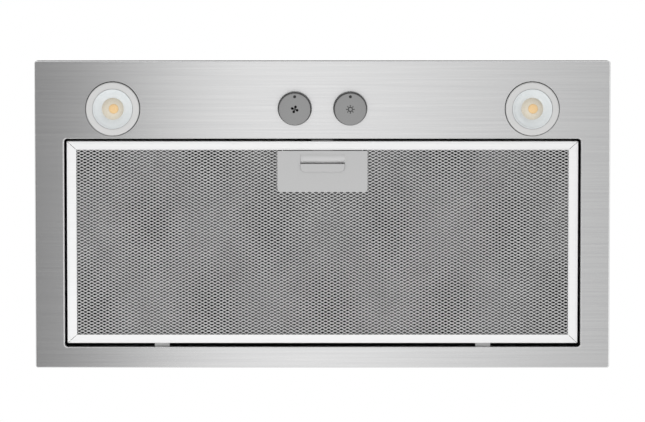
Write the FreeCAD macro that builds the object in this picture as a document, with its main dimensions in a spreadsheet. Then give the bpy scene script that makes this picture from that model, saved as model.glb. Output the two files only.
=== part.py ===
import FreeCAD, Part
import math
import operator
import os

import Sketcher
from FreeCAD import Rotation, Vector

# Range hood insert, in millimetres.  +Z is up, -Y is the side where the cook stands.
# The origin is the middle of the seating plane: the top of the faceplate's turned-in lip,
# which bears on the underside of the cabinet.  The steel face lies below it, the housing above.

DRIVING = {
    # faceplate: one stainless sheet with an upturned edge and a large filter opening
    "face_width": 540.0,
    "face_depth": 289.0,
    "face_sheet": 0.8,
    "flange_rise": 12.0,
    "return_lip": 6.0,
    "face_corner": 2.2,
    "face_bend": 1.5,
    "opening_setback": 73.0,
    "opening_rear_margin": 19.7,
    "opening_side_margin": 7.6,
    "opening_corner": 3.0,
    "opening_lip": 14.0,
    "lip_bend": 1.2,
    # housing: a wrapper for front, top and rear, and two spot-welded end panels
    "housing_side_margin": 20.0,
    "housing_margin": 9.5,
    "housing_rise": 200.0,
    "shell_sheet": 0.8,
    "shell_bend": 1.2,
    "base_flange": 6.0,
    "seam_flange": 10.0,
    "foot_width": 9.0,
    "foot_margin": 9.2,
    "seat_gap": 0.3,
    "bracket_hole": 2.5,
    "bracket_hole_spacing": 160.0,
    "bracket_hole_rise": 60.0,
    "stud_radius": 2.0,
    "stud_length": 6.5,
    "stud_clearance": 0.2,
    "stud_spacing": 100.0,
    "nut_size": 7.0,
    "nut_height": 3.0,
    # blower: a double-shaft motor between two volutes with squirrel-cage wheels
    "shaft_height": 105.0,
    "shaft_radius": 4.0,
    "shaft_tail": 4.0,
    "bearing_clearance": 0.08,
    "motor_radius": 42.5,
    "motor_half_length": 30.0,
    "shield_depth": 15.0,
    "shield_nose_radius": 18.0,
    "shield_step": 5.0,
    "motor_end_gap": 3.5,
    "hanger_sheet": 1.6,
    "hanger_half_width": 12.0,
    "hanger_post_place": 30.0,
    "hanger_foot": 14.0,
    "hanger_screw_place": 8.4,
    "volute_width": 76.0,
    "volute_sheet": 0.8,
    "wheel_radius": 60.0,
    "wheel_running_gap": 7.0,
    "volute_growth": 8.0,
    "volute_shift": 2.0,
    "tongue_angle": 74.0,
    "tongue_width": 4.0,
    "wheel_side_gap": 4.2,
    "blade_length": 59.0,
    "blade_depth": 10.0,
    "blade_sheet": 0.7,
    "blade_curve": 9.0,
    "blade_lean": 3.5,
    "blade_tip_angle": 53.0,
    "blade_count": 36.0,
    "wheel_plate": 1.0,
    "wheel_ring": 4.0,
    "hub_radius": 11.0,
    "hub_length": 18.0,
    "hub_hole_gap": 4.2,
    "inlet_roll": 7.0,
    "inlet_overlap": 3.0,
    "inlet_flange": 8.0,
    "inlet_throat": 1.6,
    "set_screw_radius": 2.5,
    "set_screw_place": 13.5,
    "set_screw_stand": 1.2,
    # duct collar with its back-draught flap
    "collar_width": 252.0,
    "collar_depth": 81.0,
    "collar_rise": 50.0,
    "collar_flange": 12.0,
    "flap_height": 33.0,
    "flap_offset": 10.0,
    "flap_sheet": 0.6,
    "flap_clearance": 1.2,
    "ledge_width": 12.0,
    "ledge_reach": 3.6,
    "rod_radius": 1.5,
    "rod_overhang": 3.0,
    "pin_clearance": 0.05,
    "screw_radius": 2.0,
    "screw_head": 3.8,
    "screw_head_height": 1.8,
    # controls
    "knob_spacing": 52.0,
    "knob_setback": 44.5,
    "knob_base_radius": 16.0,
    "knob_face_radius": 15.3,
    "knob_rise": 17.0,
    "knob_wall": 2.0,
    "knob_gap": 0.6,
    "knob_edge": 0.6,
    "knob_hub_radius": 5.6,
    "spindle_radius": 3.0,
    "spindle_flat": 0.8,
    "bush_radius": 4.75,
    "bush_length": 4.8,
    "bush_clearance": 0.25,
    "switch_width": 30.0,
    "switch_depth": 28.0,
    "switch_height": 22.0,
    "switch_nut_size": 13.0,
    "switch_nut_height": 2.2,
    "cover_height": 45.0,
    # lamps
    "lamp_side_margin": 73.5,
    "lamp_setback": 44.9,
    "lamp_radius": 25.0,
    "lamp_drop": 5.0,
    "lamp_hole_gap": 0.8,
    "lamp_rim": 6.0,
    "lamp_skirt": 8.0,
    "lamp_length": 48.0,
    "lamp_cone_height": 33.6,
    "lamp_board_height": 15.4,
    "lamp_neck_radius": 12.0,
    "lamp_wall": 1.5,
    "lens_thickness": 2.0,
    "lens_core_radius": 11.0,
    "chip_radius": 4.3,
    "holder_radius": 14.0,
    "holder_height": 14.0,
    "holder_clearance": 0.2,
    "lamp_bracket_half_width": 36.0,
    "lamp_bracket_depth": 24.0,
    "lamp_bracket_sheet": 1.0,
    "lamp_bracket_foot": 6.0,
    # wiring
    "wiring_box_width": 86.0,
    "wiring_box_depth": 66.0,
    "wiring_box_height": 46.0,
    "wiring_box_side_margin": 57.0,
    "wiring_box_setback": 40.0,
    "box_sheet": 0.8,
    "lid_rim": 5.0,
    "knockout_radius": 11.1,
    "terminal_length": 40.0,
    "terminal_depth": 20.0,
    "terminal_height": 16.0,
    "terminal_well_radius": 4.6,
    "capacitor_radius": 17.0,
    "capacitor_length": 62.0,
    "clamp_sheet": 1.0,
    "clamp_width": 12.0,
    "clamp_wing": 14.0,
    # grease filter and its latch
    "filter_side_gap": 2.3,
    "filter_front_gap": 2.6,
    "filter_rear_gap": 3.35,
    "filter_recess": 4.0,
    "filter_thickness": 9.0,
    "filter_sheet": 0.8,
    "side_rail": 9.0,
    "end_rail": 8.0,
    "mitre_gap": 0.25,
    "mesh_sheet": 0.3,
    "mesh_edge_gap": 1.0,
    "mesh_gap": 0.3,
    "mesh_wave": 12.0,
    "tab_spacing": 302.0,
    "tab_width": 14.0,
    "tab_height": 5.6,
    "tab_reach": 2.8,
    "tab_leg": 4.9,
    "slot_clearance": 0.3,
    "slot_height": 3.7,
    "tab_clearance": 0.1,
    "plate_width": 84.7,
    "plate_length": 38.7,
    "plate_corner": 3.3,
    "plate_gap": 1.1,
    "plate_inset": 0.4,
    "grip_width": 42.0,
    "grip_ramp": 9.4,
    "grip_setback": 2.8,
    "grip_depth": 4.0,
    "grip_lip_length": 7.7,
    "grip_lip_rise": 2.0,
    "grip_corner": 4.6,
    "bolt_width": 20.0,
    "bolt_height": 9.0,
    "bolt_reach": 2.5,
    "bolt_clearance": 1.0,
    "latch_travel": 6.0,
    "tray_width": 76.0,
    "tray_length": 36.5,
    "ear_length": 8.0,
    "spring_radius": 2.4,
    "spring_wire": 0.6,
    "spring_turns": 6.0,
}

OVERSHOOT = 5.0   # how far a cutting shape runs past what it cuts


# ---------------------------------------------------------------- document and sizes

doc = FreeCAD.newDocument("RangeHoodInsert")
sheet = doc.addObject("Spreadsheet::Sheet", "Sizes")
for row, (alias, number) in enumerate(DRIVING.items(), 1):
    sheet.set("A%d" % row, alias.replace("_", " "))
    sheet.set("B%d" % row, str(number))
    sheet.setAlias("B%d" % row, alias)
doc.recompute()

SIGNS = {"+": operator.add, "-": operator.sub, "*": operator.mul, "/": operator.truediv}


def number_of(value):
    return value.number if isinstance(value, Size) else float(value)


def formula_of(value):
    return value.formula if isinstance(value, Size) else "(%r)" % float(value)


def combine(first, sign, second):
    number = SIGNS[sign](number_of(first), number_of(second))
    return Size(number, "(%s %s %s)" % (formula_of(first), sign, formula_of(second)))


class Size:
    """A length or an angle: its number now, and the sheet formula that it follows."""

    def __init__(self, number, formula):
        self.number = number
        self.formula = formula

    def __add__(self, other):
        return combine(self, "+", other)

    def __radd__(self, other):
        return combine(other, "+", self)

    def __sub__(self, other):
        return combine(self, "-", other)

    def __rsub__(self, other):
        return combine(other, "-", self)

    def __mul__(self, other):
        return combine(self, "*", other)

    def __rmul__(self, other):
        return combine(other, "*", self)

    def __truediv__(self, other):
        return combine(self, "/", other)

    def __neg__(self):
        return combine(0, "-", self)


def root(value):
    return Size(math.sqrt(value.number), "sqrt(%s)" % value.formula)


def sine(angle):
    return Size(math.sin(math.radians(angle.number)), "sin(%s)" % angle.formula)


def cosine(angle):
    return Size(math.cos(math.radians(angle.number)), "cos(%s)" % angle.formula)


class Sizes:
    """The driving sizes, read back from the sheet."""


size = Sizes()
for alias in DRIVING:
    setattr(size, alias, Size(float(sheet.get(alias)), "Sizes." + alias))


# ---------------------------------------------------------------- building helpers

pieces = []
AXES = ("x", "y", "z")


def bind(item, prop, value):
    """Set a property and, where the value comes from the sheet, tie it to the sheet."""
    if isinstance(value, Size):
        item.setExpression(prop, value.formula)
    else:
        item.setExpression(prop, repr(float(value)))


def put(item, place):
    for axis, value in zip(AXES, place):
        bind(item, "Placement.Base." + axis, value)
    return item


def keep(item, label):
    """Name a finished sub-part; the label is its file's name."""
    item.Label = label
    pieces.append(item)
    return item


def new_body(label, place=(0, 0, 0)):
    return keep(put(doc.addObject("PartDesign::Body", label), place), label)


def sketch_on(body, plane, offset=0):
    """A sketch on the body's own plane.  XY has +Z as normal, YZ +X, and XZ -Y."""
    sketch = body.newObject("Sketcher::SketchObject", body.Name + "_sketch")
    support = next(item for item in body.Origin.OriginFeatures if item.Role == plane)
    sketch.AttachmentSupport = [(support, "")]
    sketch.MapMode = "FlatFace"
    bind(sketch, "AttachmentOffset.Base.z", offset)
    return sketch


def fix_point(sketch, edge, end, point):
    """Hold one point of an edge at its distances from the sketch's origin."""
    for kind, value in zip(("DistanceX", "DistanceY"), point):
        number = sketch.addConstraint(Sketcher.Constraint(kind, -1, 1, edge, end, number_of(value)))
        bind(sketch, "Constraints[%d]" % number, value)


def fix_radius(sketch, edge, radius):
    number = sketch.addConstraint(Sketcher.Constraint("Radius", edge, number_of(radius)))
    bind(sketch, "Constraints[%d]" % number, radius)


class Turn:
    """An arc in an outline, between the corners before and after it; left is anticlockwise."""

    def __init__(self, radius, left=True):
        self.radius = radius
        self.left = left


def arc_between(start, end, turn):
    """A short arc from start to end, always stored anticlockwise."""
    middle = (start + end) / 2
    chord = end - start
    radius = number_of(turn.radius)
    rise = math.sqrt(max(radius ** 2 - (chord.Length / 2) ** 2, 0))
    across = Vector(-chord.y, chord.x, 0).normalize()
    centre = middle + across * (rise if turn.left else -rise)
    ends = (start, end) if turn.left else (end, start)
    first, last = [math.atan2(*(point - centre)[1::-1]) for point in ends]
    circle = Part.Circle(centre, Vector(0, 0, 1), radius)
    return Part.ArcOfCircle(circle, first, last)


def draw(sketch, path):
    """A closed outline of corners (u, v), with a Turn between two corners for an arc."""
    corners = [item for item in path if not isinstance(item, Turn)]
    turns = {}
    for index, item in enumerate(path):
        if isinstance(item, Turn):
            turns[len([one for one in path[:index] if not isinstance(one, Turn)]) - 1] = item
    points = [Vector(number_of(u), number_of(v), 0) for u, v in corners]
    edges = []
    for index, start in enumerate(points):
        end = points[(index + 1) % len(points)]
        turn = turns.get(index)
        shape = arc_between(start, end, turn) if turn else Part.LineSegment(start, end)
        edge = sketch.addGeometry(shape)
        edges.append((edge, 1, 2) if not turn or turn.left else (edge, 2, 1))
        if turn:
            fix_radius(sketch, edge, turn.radius)
    for index, (edge, head, tail) in enumerate(edges):
        next_edge, next_head, _ = edges[(index + 1) % len(edges)]
        sketch.addConstraint(Sketcher.Constraint("Coincident", edge, tail, next_edge, next_head))
        fix_point(sketch, edge, head, corners[index])
    return sketch


def rectangle(sketch, low, high):
    return draw(sketch, [low, (high[0], low[1]), high, (low[0], high[1])])


def rounded(sketch, low, high, radius):
    """A rectangle with its four corners rounded."""
    turn = Turn(radius)
    return draw(sketch, [
        (low[0] + radius, low[1]), (high[0] - radius, low[1]), turn,
        (high[0], low[1] + radius), (high[0], high[1] - radius), turn,
        (high[0] - radius, high[1]), (low[0] + radius, high[1]), turn,
        (low[0], high[1] - radius), (low[0], low[1] + radius), turn,
    ])


def circle(sketch, centre, radius):
    shape = Part.Circle(Vector(number_of(centre[0]), number_of(centre[1]), 0),
                        Vector(0, 0, 1), number_of(radius))
    edge = sketch.addGeometry(shape)
    fix_radius(sketch, edge, radius)
    fix_point(sketch, edge, 3, centre)
    return sketch


def pad(body, sketch, length, forward=True):
    """Add material from the sketch along its normal, or against it."""
    feature = body.newObject("PartDesign::Pad", body.Name + "_pad")
    feature.Profile = sketch
    bind(feature, "Length", length)
    feature.Reversed = not forward
    doc.recompute()
    return feature


def pocket(body, sketch, length, forward=False):
    """Cut from the sketch against its normal, or along it, and see that it did cut."""
    before = body.Shape.Volume
    feature = body.newObject("PartDesign::Pocket", body.Name + "_pocket")
    feature.Profile = sketch
    bind(feature, "Length", length)
    feature.Reversed = forward
    doc.recompute()
    if not body.Shape.Volume < before:
        raise RuntimeError("a pocket in %s cuts nothing" % body.Label)
    return feature


def revolve(body, sketch, axis):
    feature = body.newObject("PartDesign::Revolution", body.Name + "_turned")
    feature.Profile = sketch
    line = next(item for item in body.Origin.OriginFeatures if item.Role == axis)
    feature.ReferenceAxis = (line, [""])
    doc.recompute()
    return feature


def fillet(body, radius, chosen):
    """Round the edges of the body that the test picks."""
    base = body.Tip
    names = ["Edge%d" % (index + 1) for index, edge in enumerate(base.Shape.Edges) if chosen(edge)]
    if not names:
        raise RuntimeError("no edge to round in %s" % body.Label)
    feature = body.newObject("PartDesign::Fillet", body.Name + "_fillet")
    feature.Base = (base, names)
    bind(feature, "Radius", radius)
    doc.recompute()
    return feature


def near(first, second):
    return abs(number_of(first) - number_of(second)) < 1e-4


def level_at(edge, height):
    box = edge.BoundBox
    return near(box.ZMin, height) and near(box.ZMax, height)


def box(name, low, high):
    item = doc.addObject("Part::Box", name)
    for prop, start, end in zip(("Length", "Width", "Height"), low, high):
        bind(item, prop, end - start)
    return put(item, low)


ALONG = {"x": Rotation(Vector(0, 1, 0), 90), "y": Rotation(Vector(1, 0, 0), -90), "z": Rotation()}


def cylinder(name, radius, length, start, axis="z"):
    """A cylinder from its start point along +X, +Y or +Z."""
    item = doc.addObject("Part::Cylinder", name)
    bind(item, "Radius", radius)
    bind(item, "Height", length)
    item.Placement.Rotation = ALONG[axis]
    return put(item, start)


def prism(name, across_flats, length, start, axis="z"):
    """A hexagonal nut blank, measured across its flats."""
    item = doc.addObject("Part::Prism", name)
    item.Polygon = 6
    bind(item, "Circumradius", across_flats / math.sqrt(3))
    bind(item, "Height", length)
    item.Placement.Rotation = ALONG[axis]
    return put(item, start)


def fuse(name, items):
    item = doc.addObject("Part::MultiFuse", name)
    item.Shapes = items
    return item


def group(name, items):
    """Separate like solids in one sub-part."""
    item = doc.addObject("Part::Compound", name)
    item.Links = items
    return item


def cut(name, base, tools):
    item = doc.addObject("Part::Cut", name)
    item.Base = base
    item.Tool = tools[0] if len(tools) == 1 else fuse(name + "_tools", tools)
    return item


SIDES = (("left", -1), ("right", 1))


# ---------------------------------------------------------------- shared places

face_low = -size.flange_rise
face_inside = face_low + size.face_sheet
half_width = size.face_width / 2
half_depth = size.face_depth / 2
housing_half = half_width - size.housing_side_margin
half_opening = housing_half - size.opening_side_margin
opening_front = size.opening_setback - half_depth
opening_rear = half_depth - size.opening_rear_margin
lip_top = face_low + size.opening_lip

wall_out = half_depth - size.housing_margin
wall_in = wall_out - size.shell_sheet
end_in = housing_half - size.shell_sheet
ceiling = size.housing_rise - size.shell_sheet

frame_half = half_opening - size.filter_side_gap
frame_front = opening_front + size.filter_front_gap
frame_rear = opening_rear - size.filter_rear_gap
frame_low = face_low + size.filter_recess
frame_top = frame_low + size.filter_thickness
channel_half = frame_half - size.filter_sheet
channel_front = frame_front + size.filter_sheet
channel_rear = frame_rear - size.filter_sheet
channel_low = frame_low + size.filter_sheet
channel_top = frame_top - size.filter_sheet
tab_low = face_low + size.tab_height
slot_low = tab_low - size.slot_clearance

plate_front = frame_front + size.end_rail + size.plate_gap
plate_rear = plate_front + size.plate_length
plate_low = frame_low + size.plate_inset
plate_top = plate_low + size.filter_sheet
bolt_low = face_low + size.bolt_height
bolt_top = bolt_low + size.filter_sheet
bolt_half = size.bolt_width / 2

knob_y = size.knob_setback - half_depth
lamp_x = half_width - size.lamp_side_margin
lamp_y = size.lamp_setback - half_depth


# ---------------------------------------------------------------- faceplate

faceplate = new_body("faceplate", (0, 0, face_low))
pad(faceplate, rounded(sketch_on(faceplate, "XY_Plane"), (-half_width, -half_depth),
                       (half_width, half_depth), size.face_corner), size.flange_rise)
fillet(faceplate, size.face_bend, lambda edge: level_at(edge, 0))
inner_x = half_width - size.face_sheet
inner_y = half_depth - size.face_sheet
pocket(faceplate, rectangle(sketch_on(faceplate, "XY_Plane", size.flange_rise - size.face_sheet),
                            (-inner_x, -inner_y), (inner_x, inner_y)),
       size.flange_rise - size.face_sheet * 2)
mouth_x = inner_x - size.return_lip
mouth_y = inner_y - size.return_lip
pocket(faceplate, rectangle(sketch_on(faceplate, "XY_Plane", size.flange_rise),
                            (-mouth_x, -mouth_y), (mouth_x, mouth_y)), size.face_sheet)
# the opening's upturned lip
lip_x = half_opening + size.face_sheet
lip_front = opening_front - size.face_sheet
lip_rear = opening_rear + size.face_sheet
pad(faceplate, rounded(sketch_on(faceplate, "XY_Plane"), (-lip_x, lip_front),
                       (lip_x, lip_rear), size.opening_corner + size.face_sheet),
    size.opening_lip)
pocket(faceplate, rounded(sketch_on(faceplate, "XY_Plane", size.opening_lip),
                          (-half_opening, opening_front), (half_opening, opening_rear),
                          size.opening_corner), size.opening_lip)
fillet(faceplate, size.lip_bend,
       lambda edge: level_at(edge, 0) and abs(edge.CenterOfMass.x) < half_opening.number + 1
       and opening_front.number - 1 < edge.CenterOfMass.y < opening_rear.number + 1)
# holes for lamps, switch bushes and foot studs
holes = sketch_on(faceplate, "XY_Plane", size.face_sheet)
for side in (-1, 1):
    circle(holes, (lamp_x * side, lamp_y), size.lamp_radius + size.lamp_hole_gap)
    circle(holes, (size.knob_spacing / 2 * side, knob_y), size.bush_radius + size.bush_clearance)
pocket(faceplate, holes, size.face_sheet)
# slots in the rear lip for the filter's tabs, and in the front lip for its bolt
slots = sketch_on(faceplate, "XZ_Plane", OVERSHOOT - opening_rear)
slot_half = size.tab_width / 2 + size.slot_clearance
for side in (-1, 1):
    tab_x = size.tab_spacing / 2 * side
    rectangle(slots, (tab_x - slot_half, slot_low - face_low),
              (tab_x + slot_half, slot_low - face_low + size.slot_height))
pocket(faceplate, slots, size.face_sheet + OVERSHOOT * 2)
bolt_slot = sketch_on(faceplate, "XZ_Plane", OVERSHOOT - lip_front)
bolt_room = bolt_half + size.bolt_clearance
rectangle(bolt_slot, (-bolt_room, size.bolt_height - size.bolt_clearance),
          (bolt_room, size.bolt_height + size.filter_sheet + size.bolt_clearance))
pocket(faceplate, bolt_slot, size.face_sheet + OVERSHOOT * 2)


# ---------------------------------------------------------------- blower places

volute_near = size.motor_half_length + size.shield_depth + size.motor_end_gap
volute_far = volute_near + size.volute_width
cavity_near = volute_near + size.volute_sheet
cavity_far = volute_far - size.volute_sheet
shaft_place = (0, 0, size.shaft_height)
spiral_radius = size.wheel_radius + size.wheel_running_gap
spiral_y = -size.volute_shift
spiral_z = -size.volute_shift
tongue_z = spiral_z + spiral_radius * sine(size.tongue_angle)
outlet_front = spiral_y + spiral_radius * cosine(size.tongue_angle) + size.tongue_width
outlet_rear = spiral_y + spiral_radius + size.volute_growth * 3
outlet_middle = (outlet_front + outlet_rear) / 2
outlet_top = ceiling - size.shaft_height


def volute_outline(grow, top):
    """The air passage in the YZ plane: three arcs of growing radius, then straight up."""
    tongue_high = tongue_z + grow
    first = spiral_radius + grow
    reach = root(first * first - (tongue_high - spiral_z) * (tongue_high - spiral_z))
    second = first + size.volute_growth
    third = second + size.volute_growth
    right = spiral_y + size.volute_growth + third
    return [
        (outlet_front - grow, top),
        (outlet_front - grow, tongue_high),
        (spiral_y + reach, tongue_high),
        Turn(first),
        (spiral_y - first, spiral_z),
        Turn(second),
        (spiral_y + size.volute_growth, spiral_z - second),
        Turn(third),
        (right, spiral_z + size.volute_growth),
        (right, top),
    ]


# ---------------------------------------------------------------- housing

wrapper = new_body("housing_wrapper")
bent_sheet = sketch_on(wrapper, "YZ_Plane", -housing_half)
draw(bent_sheet, [
    (-wall_out, face_inside), (-wall_in, face_inside), (-wall_in, ceiling), (wall_in, ceiling),
    (wall_in, face_inside), (wall_out, face_inside), (wall_out, size.housing_rise),
    (-wall_out, size.housing_rise),
])
pad(wrapper, bent_sheet, housing_half * 2)
fillet(wrapper, size.shell_bend,
       lambda edge: level_at(edge, size.housing_rise) and near(abs(edge.CenterOfMass.y), wall_out))
# base flanges turn inwards at front and rear, between the end panels' rims
rim_end = end_in - size.seam_flange
for front in (-1, 1):
    flange = sketch_on(wrapper, "XY_Plane", face_inside)
    inner = (wall_in - size.base_flange) * front
    outer = wall_in * front
    low_y, high_y = (outer, inner) if front < 0 else (inner, outer)
    rectangle(flange, (size.seat_gap - rim_end, low_y), (rim_end - size.seat_gap, high_y))
    pad(wrapper, flange, size.shell_sheet)
outlets = sketch_on(wrapper, "XY_Plane", size.housing_rise)
rectangle(outlets, (cavity_near, outlet_front), (cavity_far, outlet_rear))
rectangle(outlets, (-cavity_far, outlet_front), (-cavity_near, outlet_rear))
wiring_x = size.wiring_box_side_margin - housing_half
wiring_y = size.wiring_box_setback - wall_out
circle(outlets, (wiring_x, wiring_y), size.knockout_radius)
pocket(wrapper, outlets, size.shell_sheet)

bracket_rise = size.bracket_hole_rise
for name, side in SIDES:
    panel = new_body(name + "_end_panel")
    plate = sketch_on(panel, "YZ_Plane", housing_half * side)
    rectangle(plate, (-wall_in, face_inside), (wall_in, ceiling))
    pad(panel, plate, size.seam_flange + size.shell_sheet, forward=side < 0)
    hollow = sketch_on(panel, "YZ_Plane", end_in * side)
    rim = wall_in - size.shell_sheet
    rectangle(hollow, (-rim, face_inside - OVERSHOOT), (rim, ceiling - size.shell_sheet))
    pocket(panel, hollow, size.seam_flange + OVERSHOOT, forward=side < 0)
    foot = sketch_on(panel, "XY_Plane", face_inside)
    ends = sorted((end_in * side, (housing_half + size.foot_width) * side), key=number_of)
    rectangle(foot, (ends[0], size.foot_margin - wall_in), (ends[1], wall_in - size.foot_margin))
    pad(panel, foot, size.shell_sheet)
    stud_holes = sketch_on(panel, "XY_Plane", face_inside + size.shell_sheet)
    for step in (-1, 0, 1):
        circle(stud_holes, ((housing_half + size.foot_width / 2) * side,
                            size.stud_spacing * step), size.stud_radius + size.stud_clearance)
    pocket(panel, stud_holes, size.shell_sheet)
    bracket = sketch_on(panel, "YZ_Plane", housing_half * side)
    for step in (-1, 1):
        circle(bracket, (size.bracket_hole_spacing / 2 * step, bracket_rise), size.bracket_hole)
    pocket(panel, bracket, size.shell_sheet, forward=side < 0)

studs = []
for name, side in SIDES:
    for step in (-1, 0, 1):
        tag = "%s_%d" % (name, step + 1)
        start = ((housing_half + size.foot_width / 2) * side, size.stud_spacing * step)
        stud = cylinder("stud_" + tag, size.stud_radius, size.stud_length, start + (face_inside,))
        nut = prism("nut_" + tag, size.nut_size, size.nut_height,
                    start + (face_inside + size.shell_sheet,))
        studs.append(fuse("foot_stud_" + tag, [stud, nut]))
keep(group("foot_studs", studs), "foot_studs_and_nuts")


# ---------------------------------------------------------------- duct collar and flap

collar_x = size.collar_width / 2
collar_front = outlet_middle - size.collar_depth / 2
collar_rear = outlet_middle + size.collar_depth / 2
roof = size.housing_rise
collar = new_body("duct_collar")
pad(collar, rectangle(sketch_on(collar, "XY_Plane", roof),
                      (-(collar_x + size.collar_flange), collar_front - size.collar_flange),
                      (collar_x + size.collar_flange, collar_rear + size.collar_flange)),
    size.shell_sheet)
pad(collar, rectangle(sketch_on(collar, "XY_Plane", roof), (-collar_x, collar_front),
                      (collar_x, collar_rear)), size.collar_rise)
inner_collar_x = collar_x - size.shell_sheet
inner_front = collar_front + size.shell_sheet
inner_rear = collar_rear - size.shell_sheet
pocket(collar, rectangle(sketch_on(collar, "XY_Plane", roof + size.collar_rise),
                         (-inner_collar_x, inner_front), (inner_collar_x, inner_rear)),
       size.collar_rise)
# two ledges on the front wall, on which the closed flap rests
rod_z = roof + size.flap_height
ledge_top = rod_z - size.flap_sheet / 2 - size.seat_gap
ledge = sketch_on(collar, "XY_Plane", ledge_top - size.shell_sheet)
for side in (-1, 1):
    middle = size.collar_width / 4 * side
    rectangle(ledge, (middle - size.ledge_width / 2, inner_front - size.shell_sheet),
              (middle + size.ledge_width / 2, inner_front + size.ledge_reach))
pad(collar, ledge, size.shell_sheet)
rod_y = outlet_middle + size.flap_offset
rod_hole = circle(sketch_on(collar, "YZ_Plane", collar_x), (rod_y, rod_z),
                  size.rod_radius + size.pin_clearance)
pocket(collar, rod_hole, size.collar_width)
screw_holes = sketch_on(collar, "XY_Plane", roof + size.shell_sheet)
screw_spots = [(collar_x / 2 * column, edge) for column in (-1, 1)
               for edge in (collar_front - size.collar_flange / 2,
                            collar_rear + size.collar_flange / 2)]
for spot in screw_spots:
    circle(screw_holes, spot, size.screw_radius)
pocket(collar, screw_holes, size.shell_sheet)

screws = []
for index, (x, y) in enumerate(screw_spots):
    shank = cylinder("collar_shank_%d" % index, size.screw_radius - size.pin_clearance,
                     size.shell_sheet, (x, y, roof))
    head = cylinder("collar_head_%d" % index, size.screw_head, size.screw_head_height,
                    (x, y, roof + size.shell_sheet))
    screws.append(fuse("collar_screw_%d" % index, [shank, head]))
keep(group("collar_screw_set", screws), "collar_screws")

# the flap is one strip with a channel arched over the rod
flap = new_body("damper_flap", (0, rod_y, rod_z))
flap_half = size.flap_sheet / 2
channel = size.rod_radius + size.pin_clearance
crown = channel + size.flap_sheet
crown_foot = root(crown * crown - flap_half * flap_half)
flap_x = inner_collar_x - size.flap_clearance
flap_front = inner_front + size.flap_clearance - rod_y
flap_rear = inner_rear - size.flap_clearance - rod_y
profile = sketch_on(flap, "YZ_Plane", -flap_x)
draw(profile, [
    (flap_front, -flap_half), (-channel, -flap_half), (-channel, 0), Turn(channel, left=False),
    (0, channel), Turn(channel, left=False), (channel, 0), (channel, -flap_half),
    (flap_rear, -flap_half), (flap_rear, flap_half), (crown_foot, flap_half), Turn(crown),
    (0, crown), Turn(crown), (-crown_foot, flap_half), (flap_front, flap_half),
])
pad(flap, profile, flap_x * 2)
rod_half = collar_x + size.rod_overhang
keep(cylinder("flap_rod", size.rod_radius, rod_half * 2, (-rod_half, rod_y, rod_z), "x"),
     "damper_rod")


# ---------------------------------------------------------------- blower

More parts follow.
